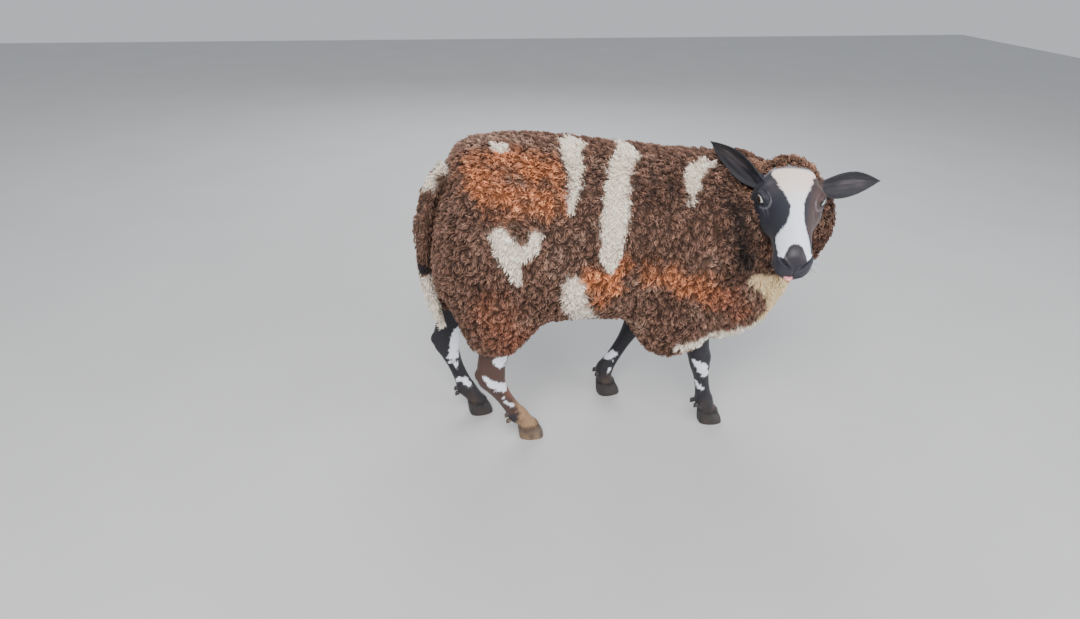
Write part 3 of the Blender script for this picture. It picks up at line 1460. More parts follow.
def triangle_count(obj: Piece) -> int:
    """How many triangles the object's faces come to."""
    return sum(len(face.vertices) - 2 for face in obj.data.polygons)


@dataclass(frozen=True)
class FaceMarkings:
    """The head's colours in its own frame.

    The blaze has rows of distance from the nose and its angle from the top on the right and on the left, and
    the nose patch has rows of distance and half width.
    """

    shape: HeadShape
    blaze: Rows = (
        (0.000, 80, 84), (0.006, 80, 83), (0.015, 80, 74), (0.030, 81, 68), (0.042, 82, 62), (0.055, 82, 48),
        (0.066, 76, 33), (0.071, 54, 30), (0.077, 31, 26), (0.091, 18, 21), (0.104, 13, 18), (0.118, 13, 17),
        (0.140, 17, 20), (0.164, 25, 26), (0.192, 31, 33), (0.210, 35, 41), (0.225, 30, 36),
    )
    nose_patch: Rows = ((0.000, 0.026), (0.008, 0.0230), (0.016, 0.0180), (0.025, 0.0135), (0.031, 0.0))

    def colours(self, points: Array) -> tuple[Array, Array]:
        """The hair's colour and how bare the skin is at each place of the head.

        Args:
            points: Places on the ram's head and ears.

        Returns:
            A linear colour a row, and a share of bare wet skin for each.
        """
        shape = self.shape
        at = shape.local(points)
        back, angle = shape.bearings(at)
        drift = noise(at, 0.020, 21) * 0.5 + 0.5
        cheek = smooth_step(20, 45, angle) * within(back, (0.04, 0.08), (0.21, 0.25))
        base = blend(plain(Shade.BLUE_BLACK, len(points)), Shade.CHEEK, cheek * (0.45 + 0.5 * drift))
        brow = within(angle, (-50, -38), (-28, -18)) * smooth_step(0.13, 0.17, back)
        base = blend(base, Shade.CHEEK, brow * 0.35 * drift)
        white = self.white(at)
        base = blend(base, Shade.WHITE, white)
        base = blend(base, Shade.FOREHEAD, white * smooth_step(0.10, 0.19, back) * 0.8)
        poll = smooth_step(0.214, 0.224, back) * (np.abs(angle) < 75) * (np.abs(at[:, 1]) < 0.056)
        base = blend(base, Shade.HAIRLINE, poll * (0.45 + 0.5 * drift))
        base = blend(base, Shade.BLACK, bell(back - 0.226, 0.004) * bell(np.abs(angle) - 24, 9))
        distance, width = np.array(self.nose_patch).T
        half = np.interp(back, distance, width, right=0.0) + noise(at, 0.006, 24) * 0.0012
        dark_nose = (1 - smooth_step(-0.0012, 0.0012, np.abs(at[:, 1] + 0.003) - half)) * (back < 0.032)
        lower = (1 - smooth_step(-0.034, -0.030, at[:, 2])) * (1 - smooth_step(0.05, 0.07, back))
        base = blend(blend(base, Shade.NOSE, dark_nose), Shade.BLUE_BLACK, lower * 0.9)
        lips = bell(at[:, 2] - shape.mouth_height(back), 0.0045) * (1 - smooth_step(0.04, 0.066, back))
        bare = np.maximum(dark_nose * (1 - smooth_step(0.014, 0.024, back)) * 0.75, lips * 0.6)
        for side in Side:
            ahead, raised, away = shape.eye_view(at, side)
            ring = np.hypot(ahead, raised)
            rim = (1 - smooth_step(0.95, 1.15, ring)) * (away > 0.002)
            bare = np.maximum(bare, rim * 0.7)
            pale = bell(ring - 1.75, 0.16) * (away > 0.0) * smooth_step(0.0, 0.6, ahead)
            base = blend(blend(base, Shade.BLACK, rim), Shade.HAIRLINE, pale * 0.25)
        ears = smooth_step(0.066, 0.074, np.abs(at[:, 1])) * smooth_step(0.15, 0.18, back)
        base = blend(base, Shade.BLACK, ears)
        for side in Side:
            base = blend(base, Shade.EAR_INSIDE, self.ear_streak(at, side) * ears * 0.8)
        return base, bare

    def white(self, at: Array) -> Array:
        """How far each place in the head's frame is in the blaze, from 0 to 1."""
        back, angle = self.shape.bearings(at)
        wave = noise(at, 0.010, 22) * 2.2 + noise(at, 0.004, 23) * 1.6
        distance, right, left = np.array(self.blaze).T
        right, left = np.interp(back, distance, right) + wave, np.interp(back, distance, left) + wave
        inside = within(angle, (-right - 1.3, -right + 1.3), (left - 1.3, left + 1.3))
        return inside * (1 - smooth_step(0.212, 0.222, back)) * (back > -0.01) * (np.abs(at[:, 1]) < 0.062)

    def ear_streak(self, at: Array, side: Side) -> Array:
        """The pale hairs inside an ear, from 0 to 1 at each place in the head's frame."""
        root, along, across, _ = (np.array(v) for v in self.shape.ear_frame(side))
        reach, aside = (at - root) @ along, (at - root) @ across
        lined = np.stack((reach / 5, aside, np.zeros(len(at))), axis=1)
        streak = bell(aside, 0.009) * within(reach, (0.04, 0.07), (0.10, 0.14))
        return streak * (0.5 + 0.5 * noise(lined, 0.0035, 25)) * (side.sign * at[:, 1] > 0)


@dataclass(frozen=True)
class LegShape:
    """The bare lower legs, from the part's own rows of centre, half depth and half width."""

    rows: tuple[Rows, ...] = (
        mm(
            (245, -108, 330, 36, 30), (262, -106, 262, 29, 25), (270, -105, 235, 28, 26.5),
            (277, -104, 205, 25.5, 24), (288, -99, 165, 19.5, 17.5), (303, -92, 110, 19.5, 17),
            (312, -87, 80, 24.5, 22.5), (324, -82, 56, 21.5, 22), (333, -80, 40, 25.5, 25.5),
        ),
        mm(
            (195, 102, 330, 36, 30), (182, 103, 265, 29, 25), (174, 103, 236, 28, 26.5),
            (163, 103, 205, 25.5, 24), (142, 103, 165, 19.5, 17.5), (112, 103, 112, 19.5, 17),
            (94, 103, 82, 24.5, 22.5), (94, 103, 56, 21.5, 22), (99, 103, 40, 25.5, 25.5),
        ),
        mm(
            (-245, -98, 360, 52, 34), (-255, -96, 300, 37, 26), (-262, -94, 255, 34, 22.5),
            (-262, -92, 222, 34.5, 23), (-248, -85, 190, 25.5, 20.5), (-228, -76, 150, 19.5, 17),
            (-204, -65, 105, 20, 17), (-190, -59, 80, 24.5, 22.5), (-172, -53, 56, 21.5, 22),
            (-160, -49, 40, 25.5, 25.5),
        ),
        mm(
            (-310, 98, 360, 52, 34), (-330, 98, 300, 37, 26), (-345, 98, 255, 34, 22.5),
            (-349, 97, 222, 34.5, 23), (-341, 96, 190, 25.5, 20.5), (-328, 94, 150, 19.5, 17),
            (-312, 91, 105, 20, 17), (-303, 87, 80, 24.5, 22.5), (-286, 83, 56, 21.5, 22),
            (-274, 81, 40, 25.5, 25.5),
        ),
    )
    joint: int = 3
    hock_point: Row = (0.030, 0.014, 0.022)
    power: float = 2.15
    voxel: float = 0.0027

    def stations(self, pair: str, side: Side) -> Rows:
        """The rows of one leg, of the front or hind pair."""
        return self.rows[2 * PAIRS.index(pair) + (side is Side.LEFT)]

    def leg(self, pair: str, side: Side, sides: int, steps: int) -> list[Piece]:
        """One lower leg, and the heel bone behind a hind leg's hock.

        Args:
            pair: front or hind.
            side: Which side.
            sides: Points round a section.
            steps: Sections between each pair of rows.

        Returns:
            Its pieces, which overlap.
        """
        rows = self.stations(pair, side)
        path = curve(rows, steps)
        centres = [Vector(p[:3]) for p in path]
        coarse, rings = steps / 2, []
        for i, p in enumerate(path):
            upright = max(0.0, 1 - (len(path) - 1 - i) / coarse / 5)
            tangent = heading(centres, i, max(1, round(coarse)))
            tangent = tangent.lerp(Vector((0, 0, -1)), upright).normalized()
            out = square_to(Vector((0, 1, 0)), tangent)
            rings.append(section(centres[i], out.cross(tangent) * p[3], out * p[4], sides, self.power))
        ends = [sum(rings[k], Vector()) / sides for k in (0, -1)]
        for p in rings[-1]:
            p.z = ends[1].z
        pieces = [mesh_object("leg", *capped(rings, *ends))]
        if pair == "hind":
            reach, wide, high = self.hock_point
            centre = Vector(rows[self.joint][:3]) + Vector((-reach * 0.72, 0.0, 0.014))
            pieces.append(ellipsoid("heel", centre, (reach * 0.62, wide, high), turning((0, 20, 0))))
        return pieces

    def all_legs(self, sides: int, steps: int) -> list[Piece]:
        """The pieces of all four legs."""
        return [piece for side in Side for pair in PAIRS for piece in self.leg(pair, side, sides, steps)]

    def flesh(self) -> Piece:
        """All four lower legs with their tendons and bones, fused and placed on the ram."""
        legs = remeshed(joined("leg_flesh", self.all_legs(36, 8)), self.voxel, 3)
        points, normals = points_of(legs), normals_of(legs)
        move = sum(self.tendons(pair, side, points, normals) for side in Side for pair in PAIRS)
        move_points(legs, points + normals * move[:, None])
        return legs

    def tendons(self, pair: str, side: Side, points: Array, normals: Array) -> Array:
        """The hollow between bone and tendon on both sides of a cannon, and a front leg's knee.

        Args:
            pair: front or hind.
            side: Which side.
            points: The points of all the legs.
            normals: Their outward directions.

        Returns:
            How far each point moves out.
        """
        rows = self.stations(pair, side)
        z = points[:, 2]
        table = np.array(curve(rows, 6))
        table = table[np.argsort(table[:, 2])]
        x_middle, y_middle, deep = (np.interp(z, table[:, 2], table[:, k]) for k in (0, 1, 3))
        behind = points[:, 0] - x_middle
        mine = np.hypot(behind, points[:, 1] - y_middle) < 0.055
        top, low = rows[self.joint][2] - 0.028, rows[-3][2] + 0.012
        span = within(z, (low, low + 0.02), (top - 0.02, top)) * np.abs(normals[:, 1]) ** 2
        move = -0.0021 * mine * span * bell(behind + 0.28 * deep, 0.0042)
        if pair == "front":
            knee = 0.0022 * bell(z - rows[self.joint - 1][2] + 0.004, 0.013)
            seam = 0.0010 * bell(z - rows[self.joint][2] - 0.010, 0.004)
            move += mine * np.clip(normals[:, 0], 0, 1) ** 2 * (knee - seam)
        return move


@dataclass
class Skin:
    """The one skin of the ram: head, ears, bare legs, and what lies under the wool."""

    head: HeadShape
    legs: LegShape
    fleece: FleeceForm
    wool_depth: float = 0.0130
    tail_depth: float = 0.0050
    scrotum_depth: float = 0.003

    def sunk(self, form: Piece, by: Array | float) -> Piece:
        """A copy of the form with each point moved in along its normal."""
        made = form.copy()
        made.data = form.data.copy()
        bpy.context.scene.collection.objects.link(made)
        move_points(made, points_of(form) - normals_of(form) * by)
        return made

    def build(
        self, body: Piece, tail: Piece, scrotum: Piece, finish: Material
    ) -> tuple[Piece, Surface, Surface]:
        """Makes the skin and paints its markings.

        Args:
            body: The fleece's form.
            tail: The tail's form.
            scrotum: The scrotum's form.
            finish: The skin's material.

        Returns:
            The skin, and the surfaces of the head and of the legs.
        """
        depth = self.wool_depth + np.maximum(self.fleece.sinking(points_of(body)), 0)[:, None]
        forms = ((body, depth), (tail, self.tail_depth), (scrotum, self.scrotum_depth))
        under = [self.sunk(form, by) for form, by in forms]
        head, legs = self.head.flesh(), self.legs.flesh()
        covered = wool_colours(points_of(body))
        pale = smooth_step(0.25, 0.50, covered.mean(axis=1))[:, None]
        face, face_bare = FaceMarkings(self.head).colours(points_of(head))
        colours = [
            covered * (0.45 + 0.45 * pale), tail_colours(points_of(under[1])) * 0.5,
            plain(Shade.CHOCOLATE, len(under[2].data.vertices)) * 0.6, face, leg_colours(points_of(legs)),
        ]
        bare = [-np.ones(len(c)) for c in colours[:3]] + [face_bare, np.zeros(len(colours[4]))]
        surfaces = Surface(head), Surface(legs)
        skin = joined("skin", [*under, head, legs])
        layer = skin.data.attributes.new(BARE_NAME, "FLOAT", "POINT")
        layer.data.foreach_set("value", np.concatenate(bare).astype(np.float32))
        return dressed(skin, np.concatenate(colours), finish), *surfaces


@dataclass(frozen=True)
class Blades:
    """Short hairs over a stretch of skin, as thin closed spikes. Lengths in metres."""

    spacing: float
    length: float
    width: float = 0.00042
    lift: float = 0.10
    spread: float = 0.22

    def piece(
        self, name: str, roots: Array, normals: Array, lie: Array, colours: Array, maps: Surface,
        finish: Material, seed: int,
    ) -> Piece:
        """One mesh of all the hairs.

        Args:
            name: The piece's name.
            roots: Where the hairs grow.
            normals: The skin's outward direction there.
            lie: Which way the hair lies there.
            colours: The hair's colour there.
            maps: The unwrapped form.
            finish: The hair's material.
            seed: Which chances.

        Returns:
            The piece, with its colours and its map.
        """
        rng = np.random.default_rng(seed)
        count = len(roots)
        flat = unit(flat_on(lie, normals) + 1e-6)
        flat = turned(flat, normals, rng.normal(0, self.spread, count))
        aim = unit(flat + normals * (self.lift * rng.uniform(0.4, 1.6, count))[:, None])
        length = self.length * rng.uniform(0.7, 1.3, count)[:, None]
        side = np.cross(normals, aim)
        up = np.cross(aim, side)
        width = (self.width * rng.uniform(0.8, 1.3, count))[:, None]
        base = roots - normals * 0.0006
        points = np.empty((count, 7, 3))
        for ring, centre, thick in ((0, base, 1.0), (3, base + aim * length * 0.5, 0.85)):
            for j in range(3):
                angle = math.tau * j / 3
                offset = side * math.cos(angle) + up * math.sin(angle) * 0.45
                points[:, ring + j] = centre + offset * width * thick
        points[:, 6] = base + aim * length - normals * length * 0.10
        faces = [(0, 2, 1), *((a, b, c) for p, q, r, s in quads(2, 3) for a, b, c in ((p, q, r), (p, r, s)))]
        faces += [(3, 4, 6), (4, 5, 6), (5, 3, 6)]
        light = np.random.default_rng(seed + 1).lognormal(0.04, 0.12, count)[:, None, None]
        shades = np.minimum(np.repeat(colours[:, None, :] * light, 7, axis=1), 0.92)
        patch = np.array([(0, 0), (0.5, 0), (1, 0), (0, 0.5), (0.5, 0.5), (1, 0.5), (0.5, 1)])
        return strands(name, points, np.array(faces), shades, maps.map_places(roots), patch, finish)


@dataclass
class Fleece:
    """All the curly wool, in pieces by region."""

    forms: FleeceForm
    finish: Material
    clear_of_face: float = 0.0030
    thinned: float = 0.36
    far_inside: float = 0.045

    def region(self, points: Array) -> Array:
        """The name of the region that each place belongs to."""
        side = np.where(points[:, 1] < 0, "right", "left")
        x, z = points[:, 0], points[:, 2]
        part = np.full(len(points), "ribs", dtype=object)
        part[x < -0.13] = "rump"
        part[x > 0.10] = "shoulder"
        part[(x > 0.10) & (z < 0.44)] = "arm"
        part[(x < -0.10) & (z < 0.52)] = "thigh"
        part[(x > 0.32) | ((x > 0.24) & (points[:, 1] < -0.205))] = "neck"
        return np.array([f"{a}_{b}" for a, b in zip(part, side)])

    def body_pieces(self, form: Surface, bare: list[Surface]) -> list[Piece]:
        """The locks of the body, neck and upper legs.

        Args:
            form: The fleece's outline, unwrapped.
            bare: The surfaces of head and legs, which the wool stays off.

        Returns:
            The pieces, each under the limit of triangles.
        """
        locks = Locks(BODY_LOCKS, form, SEED)
        away_side = smooth_step(-0.02, 0.08, locks.spots[:, 1])
        keep = np.random.default_rng(SEED + 10).random(len(locks.spots)) > self.thinned * away_side
        for surface in bare:
            _, outside, _ = surface.nearest(locks.spots)
            keep &= (outside > self.clear_of_face) | (outside < -self.far_inside)
        locks.keep(keep)
        colours = wool_colours(locks.spots)
        straight = 1 - 0.5 * smooth_step(0.25, 0.50, colours.mean(axis=1))
        locks.grow(self.forms.sinking(locks.spots), straight, 1 + 0.22 * away_side[keep])
        maps = form.map_places(locks.spots)
        names = self.region(locks.spots)
        most = MOST_TRIANGLES // len(locks.triangles())
        made = []
        for name in sorted(set(names)):
            members = np.flatnonzero(names == name)
            parts = math.ceil(len(members) / most)
            members = members[np.argsort(locks.spots[members, 0], kind="stable")]
            for n, chosen in enumerate(np.array_split(members, parts)):
                label = f"wool_{name}" + (f"_{n + 1}" if parts > 1 else "")
                made.append(locks.piece(label, chosen, colours, maps, self.finish))
        return made

    def whole(self, name: str, locks: Locks, low: float, colours: Array) -> Piece:
        """One piece of all the locks of a small form, this far under it."""
        locks.grow(np.full(len(locks.spots), low))
        every = np.arange(len(locks.spots))
        return locks.piece(name, every, colours, locks.form.map_places(locks.spots), self.finish)

    def poll_piece(self, head: HeadShape) -> Piece:
        """The cap of wool on the poll, which starts at the hairline behind the white forehead."""
        obj = head.poll_form()
        locks = Locks(POLL_LOCKS, Surface(obj, unwrap=True), SEED + 80)
        remove(obj)
        at = head.local(locks.spots)
        back, angle = head.bearings(at)
        angle = np.abs(angle)
        hairline = 0.2225 - 0.004 * (angle / 60) ** 2 - noise(at, 0.014, 51) * 0.0035
        locks.keep((back > hairline) & (angle < 84 + 70 * smooth_step(0.232, 0.258, back)))
        mixed = 0.5 + 0.4 * noise(locks.spots, 0.02, 52)
        colours = blend(plain(Shade.TAWNY, len(locks.spots)), Shade.UMBER, mixed)
        return self.whole("wool_poll", locks, 0.0, colours)

    def small_pieces(self, tail: Surface, scrotum: Surface) -> list[Piece]:
        """The tail's shorter and straighter locks, which point down, and the scrotum's short wool."""
        tail_locks = Locks(TAIL_LOCKS, tail, SEED + 20)
        scrotum_locks = Locks(SCROTUM_LOCKS, scrotum, SEED + 30)
        brown = plain(Shade.CHOCOLATE, len(scrotum_locks.spots))
        return [
            self.whole("wool_tail", tail_locks, 0.0005, tail_colours(tail_locks.spots)),
            self.whole("wool_scrotum", scrotum_locks, 0.0005, brown),
        ]


@dataclass
class ShortHair:
    """The hair of face, ears and legs where it breaks the form."""

    head: HeadShape
    legs: LegShape
    finish: Material
    face_style: Blades = Blades(spacing=0.0027, length=0.0060)
    leg_style: Blades = Blades(spacing=0.0033, length=0.0085, width=0.0005, lift=0.14)
    coronet_style: Blades = Blades(spacing=0.0022, length=0.0130, width=0.0006, lift=0.22)

    def unwrapped(self) -> tuple[Surface, Surface]:
        """Plain forms of the head with ears and of the legs, unwrapped."""
        pieces = [self.head.skull(40, 3)]
        for side in Side:
            pieces += self.head.ear(side, 20, 8)
        head = joined("head_map", pieces)
        head.data.transform(self.head.matrix())
        legs = joined("leg_map", self.legs.all_legs(16, 2))
        made = Surface(head, unwrap=True), Surface(legs, unwrap=True)
        remove(head, legs)
        return made

    def lie_on_head(self, points: Array) -> Array:
        """Which way the hair lies on the head and ears: down the face and outwards, and along the ears."""
        shape = self.head
        at = shape.local(points)
        back = shape.nose - at[:, 0]
        low = 1 - smooth_step(-0.06, -0.01, at[:, 2])
        aim = np.stack((0.9 - 1.1 * low, at[:, 1] * 9.0, -0.2 - 0.5 * low), axis=1)
        aim[:, 0] -= 0.9 * (1 - smooth_step(0.03, 0.07, back))
        for side in Side:
            root, along, *_ = (np.array(v) for v in shape.ear_frame(side))
            on_ear = (side.sign * at[:, 1] > 0.068) & (back > 0.15)
            aim[on_ear] = along + flat_on(at[on_ear] - root, np.tile(along, (on_ear.sum(), 1))) * 6.0
        return aim @ np.array(shape.matrix())[:3, :3].T

    def face_hair(self, head: Surface, wool: Surface, maps: Surface) -> Piece:
        """The hair of head and ears, clear of eyes, nostrils, mouth and bare skin.

        Args:
            head: The head's fine surface.
            wool: The fleece's outline, under which no hair grows.
            maps: The head's unwrapped form.

        Returns:
            The piece.
        """
        shape = self.head
        spots, normals = head.spread(self.face_style.spacing, SEED + 40)
        at = shape.local(spots)
        back = shape.nose - at[:, 0]
        keep = wool.nearest(spots)[1] > -0.016
        for side in Side:
            ahead, raised, away = shape.eye_view(at, side)
            keep &= (np.hypot(ahead, raised) > 1.12) | (away < 0)
            for spot in shape.nostril_path(side):
                keep &= np.linalg.norm(at - spot, axis=1) > 0.007
        keep &= np.abs(at[:, 2] - shape.mouth_height(back)) > 0.0030 * (back < 0.066)
        spots, normals = spots[keep], normals[keep]
        colours, bare = FaceMarkings(shape).colours(spots)
        hairy = bare < 0.30
        spots, normals, colours = spots[hairy], normals[hairy], colours[hairy]
        lie = self.lie_on_head(spots)
        return self.face_style.piece("hair_head", spots, normals, lie, colours, maps, self.finish, SEED + 41)

    def leg_hair(self, legs: Surface, wool: Surface, maps: Surface) -> Piece:
        """The hair of the lower legs."""
        spots, normals = legs.spread(self.leg_style.spacing, SEED + 50)
        keep = (wool.nearest(spots)[1] > -0.012) & (normals[:, 2] > -0.85)
        spots, normals = spots[keep], normals[keep]
        lie = np.tile([-0.12, 0.0, -1.0], (len(spots), 1))
        colours = leg_colours(spots)
        return self.leg_style.piece("hair_legs", spots, normals, lie, colours, maps, self.finish, SEED + 51)

    def coronet_hair(self, legs: Surface, maps: Surface) -> Piece:
        """Longer hair that hangs over the top of each hoof."""
        spots, normals = legs.spread(self.coronet_style.spacing, SEED + 60)
        keep = (spots[:, 2] < 0.052) & (spots[:, 2] > 0.041)
        spots, normals = spots[keep], normals[keep]
        lie = np.tile([0.0, 0.0, -1.0], (len(spots), 1)) + normals * 0.15
        colours = leg_colours(spots)
        style, finish = self.coronet_style, self.finish
        return style.piece("hair_coronets", spots, normals, lie, colours, maps, finish, SEED + 61)

    def pieces(self, head: Surface, legs: Surface, wool: Surface) -> list[Piece]:
        """The hair of the head, of the legs and over the hooves, off the surfaces of head, legs and wool."""
        head_map, leg_map = self.unwrapped()
        face = self.face_hair(head, wool, head_map)
        return [face, self.leg_hair(legs, wool, leg_map), self.coronet_hair(legs, leg_map)]


@dataclass
class Bristles:
    """Eyelashes and the muzzle's feelers, each a bent thin cone set by Geometry Nodes."""

    head: HeadShape
    finish: Material
    lash_length: float = 0.0085
    feeler_length: float = 0.0200
    thickness: float = 0.00022

    def lash(self, side: Side, i: int, rng: np.random.Generator) -> tuple[Vector, Vector]:
        """Root and direction of an upper eyelash, in the head's frame."""
        shape = self.head
        centre, out, forward, rise = shape.eye_frame(side)
        angle = math.radians(18 + 144 * i / 33 + rng.uniform(-2, 2))
        flat = forward * shape.lid[0] * math.cos(angle) + rise * shape.lid[1] * math.sin(angle)
        depth = math.sqrt(max(shape.eye_radius**2 - flat.length_squared, 0.00002))
        away = flat.normalized()
        root = centre + flat + out * (depth + 0.0018) + away * 0.0006
        return root, out * 0.9 + away * rng.uniform(0.35, 0.6) - rise * 0.30

    def feeler(self, side: Side, rng: np.random.Generator) -> tuple[Vector, Vector]:
        """Root and direction of a feeler of the muzzle, in the head's frame."""
        shape = self.head
        back, up = rng.uniform(0.006, 0.050), rng.uniform(-0.084, -0.040)
        row = spline(shape.rows, float(np.interp(back, [r[0] for r in shape.rows], range(len(shape.rows)))))
        middle, half = (row[1] + row[2]) / 2, (row[1] - row[2]) / 2
        share = min(0.97, abs(up - middle) / half)
        out = side.sign * row[3] * (1 - share**shape.squareness) ** (1 / shape.squareness) * 0.98
        return Vector((shape.nose - back, out, up)), Vector((0.35, side.sign, rng.uniform(-0.7, -0.2)))

    def roots(self, lashes: bool) -> tuple[Array, Array]:
        """Where the eyelashes or the feelers grow and which way they point, on the ram."""
        rng = np.random.default_rng(SEED + (70 if lashes else 71))
        if lashes:
            made = [self.lash(side, i, rng) for side in Side for i in range(34)]
        else:
            made = [self.feeler(side, rng) for side in Side for _ in range(16)]
        turn = self.head.matrix()
        spots = np.array([tuple(turn @ spot) for spot, _ in made])
        return spots, np.array([tuple((turn.to_3x3() @ aim).normalized()) for _, aim in made])

    def tree(self) -> bpy.types.NodeTree:
        """The node tree that sets a thin cone on every root, its length and thickness as named inputs."""
        tree = bpy.data.node_groups.new("bristle_setter", "GeometryNodeTree")
        inputs = {"Geometry": "Geometry", "Length": "Float", "Thickness": "Float", "Seed": "Int"}
        for name, kind in inputs.items():
            tree.interface.new_socket(name, in_out="INPUT", socket_type=f"NodeSocket{kind}")
        tree.interface.new_socket("Geometry", in_out="OUTPUT", socket_type="NodeSocketGeometry")
        given = node(tree, "NodeGroupInput").outputs
        size = {"Radius Bottom": given["Thickness"], "Radius Top": 0.00003, "Depth": given["Length"]}
        cone = node(tree, "GeometryNodeMeshCone", {"Vertices": 5, "Side Segments": 3, **size})
        aim = node(tree, "GeometryNodeInputNamedAttribute", {"Name": "aim"}, data_type="FLOAT_VECTOR")
        way = {"Vector": aim.outputs["Attribute"]}
        align = node(tree, "FunctionNodeAlignRotationToVector", way, axis="Z")
        lengths = {2: 0.65, 3: 1.10, "Seed": given["Seed"]}
        chance = node(tree, "FunctionNodeRandomValue", lengths, data_type="FLOAT")
        cones = {
            "Points": given["Geometry"],
            "Instance": cone.outputs["Mesh"],
            "Rotation": align.outputs["Rotation"],
            "Scale": chance.outputs[1],
        }
        setter = node(tree, "GeometryNodeInstanceOnPoints", cones)
        real = node(tree, "GeometryNodeRealizeInstances", {"Geometry": setter.outputs["Instances"]})
        clothed = {"Geometry": real.outputs["Geometry"], "Material": self.finish}
        dress = node(tree, "GeometryNodeSetMaterial", clothed)
        node(tree, "NodeGroupOutput", {"Geometry": dress.outputs["Geometry"]})
        return tree

    def build(self) -> list[Piece]:
        """The eyelashes and the feelers as plain meshes."""
        tree = self.tree()
        sockets = {s.name: s.identifier for s in tree.interface.items_tree if s.in_out == "INPUT"}
        made = []
        kinds = (("eyelashes", True, self.lash_length), ("feelers", False, self.feeler_length))
        for name, lashes, length in kinds:
            spots, ways = self.roots(lashes)
            mesh = bpy.data.meshes.new(name)
            mesh.from_pydata(spots.tolist(), [], [])
            layer = mesh.attributes.new("aim", "FLOAT_VECTOR", "POINT")
            layer.data.foreach_set("vector", ways.astype(np.float32).ravel())
            obj = placed(name, mesh)
            step = obj.modifiers.new("set", "NODES")
            step.node_group = tree
            for socket, value in (("Length", length), ("Thickness", self.thickness), ("Seed", SEED)):
                step[sockets[socket]] = value
            freeze(obj)
            outward(obj)
            if "aim" in obj.data.attributes:
                obj.data.attributes.remove(obj.data.attributes["aim"])
            paint(obj, plain(Shade.BLACK, len(obj.data.vertices)))
            made.append(obj)
        return made


@dataclass
class Eyes:
    """The two eyeballs, with a bulging cornea, a brown iris and a long level pupil."""

    head: HeadShape
    finish: Material
    iris_angle: float = 31.0
    gaze: tuple[float, float] = (-0.10, -0.22)
    pupil: tuple[float, float] = (0.40, 0.24)

    def build(self, side: Side) -> Piece:
        """One eyeball, placed on the ram."""
        shape = self.head
        centre, out, forward, rise = shape.eye_frame(side)
        look = (out + forward * self.gaze[0] + rise * self.gaze[1]).normalized()
        level = square_to(forward, look)
        eye = ellipsoid(f"eyeball_{side.word}", (0, 0, 0), (shape.eye_radius,) * 3, rings=72, sides=96)
        points = points_of(eye)
        around = unit(points)
        angle = np.degrees(np.arccos(np.clip(around[:, 2], -1, 1)))
        cornea = 0.0009 * (1 - smooth_step(0.0, self.iris_angle + 4, angle))
        iris = 1 - smooth_step(self.iris_angle - 2, self.iris_angle + 2, angle)
        bearing = np.arctan2(around[:, 1], around[:, 0])
        spokes = np.stack((bearing * 6, angle * 0.05, np.zeros(len(points))), axis=1)
        colours = blend(plain(Shade.SCLERA, len(points)), Shade.IRIS, iris)
        colours *= (1 + 0.35 * iris * noise(spokes, 0.35, 61))[:, None]
        colours = blend(colours, Shade.PUPIL, bell(angle - self.iris_angle, 3.0) * 0.8)
        slit = np.hypot(around[:, 0] / self.pupil[0], around[:, 1] / self.pupil[1])
        colours = blend(colours, Shade.PUPIL, (1 - smooth_step(0.88, 1.08, slit)) * (around[:, 2] > 0))
        move_points(eye, points + around * cornea[:, None])
        eye.data.transform(shape.matrix() @ Matrix.Translation(centre) @ axes(level, look.cross(level), look))
        outward(eye)
        return dressed(eye, colours, self.finish)


@dataclass
class Tongue:
    """The tip of the tongue, with its middle furrow."""

    head: HeadShape

    def build(self, finish: Material) -> Piece:
        """The tongue, placed on the ram."""
        shape = self.head
        back, out, up = shape.tongue
        obj = ellipsoid("tongue_tip", (0, 0, 0), shape.tongue_size, rings=36, sides=48)
        points = points_of(obj)
        points[:, 2] -= 0.0009 * bell(points[:, 1], 0.0022) * (points[:, 2] > 0)
        points += unit(points) * (noise(points, 0.0016, 81) * 0.00018)[:, None]
        move_points(obj, points)
        spot = Matrix.Translation((shape.nose - back, out, up))
        obj.data.transform(shape.matrix() @ spot @ turning((0, 12, 0)))
        outward(obj)
        shade = Shade.TONGUE_PINK.linear[None] * (0.92 + 0.12 * noise(points_of(obj), 0.004, 82))[:, None]
        return dressed(obj, shade, finish)


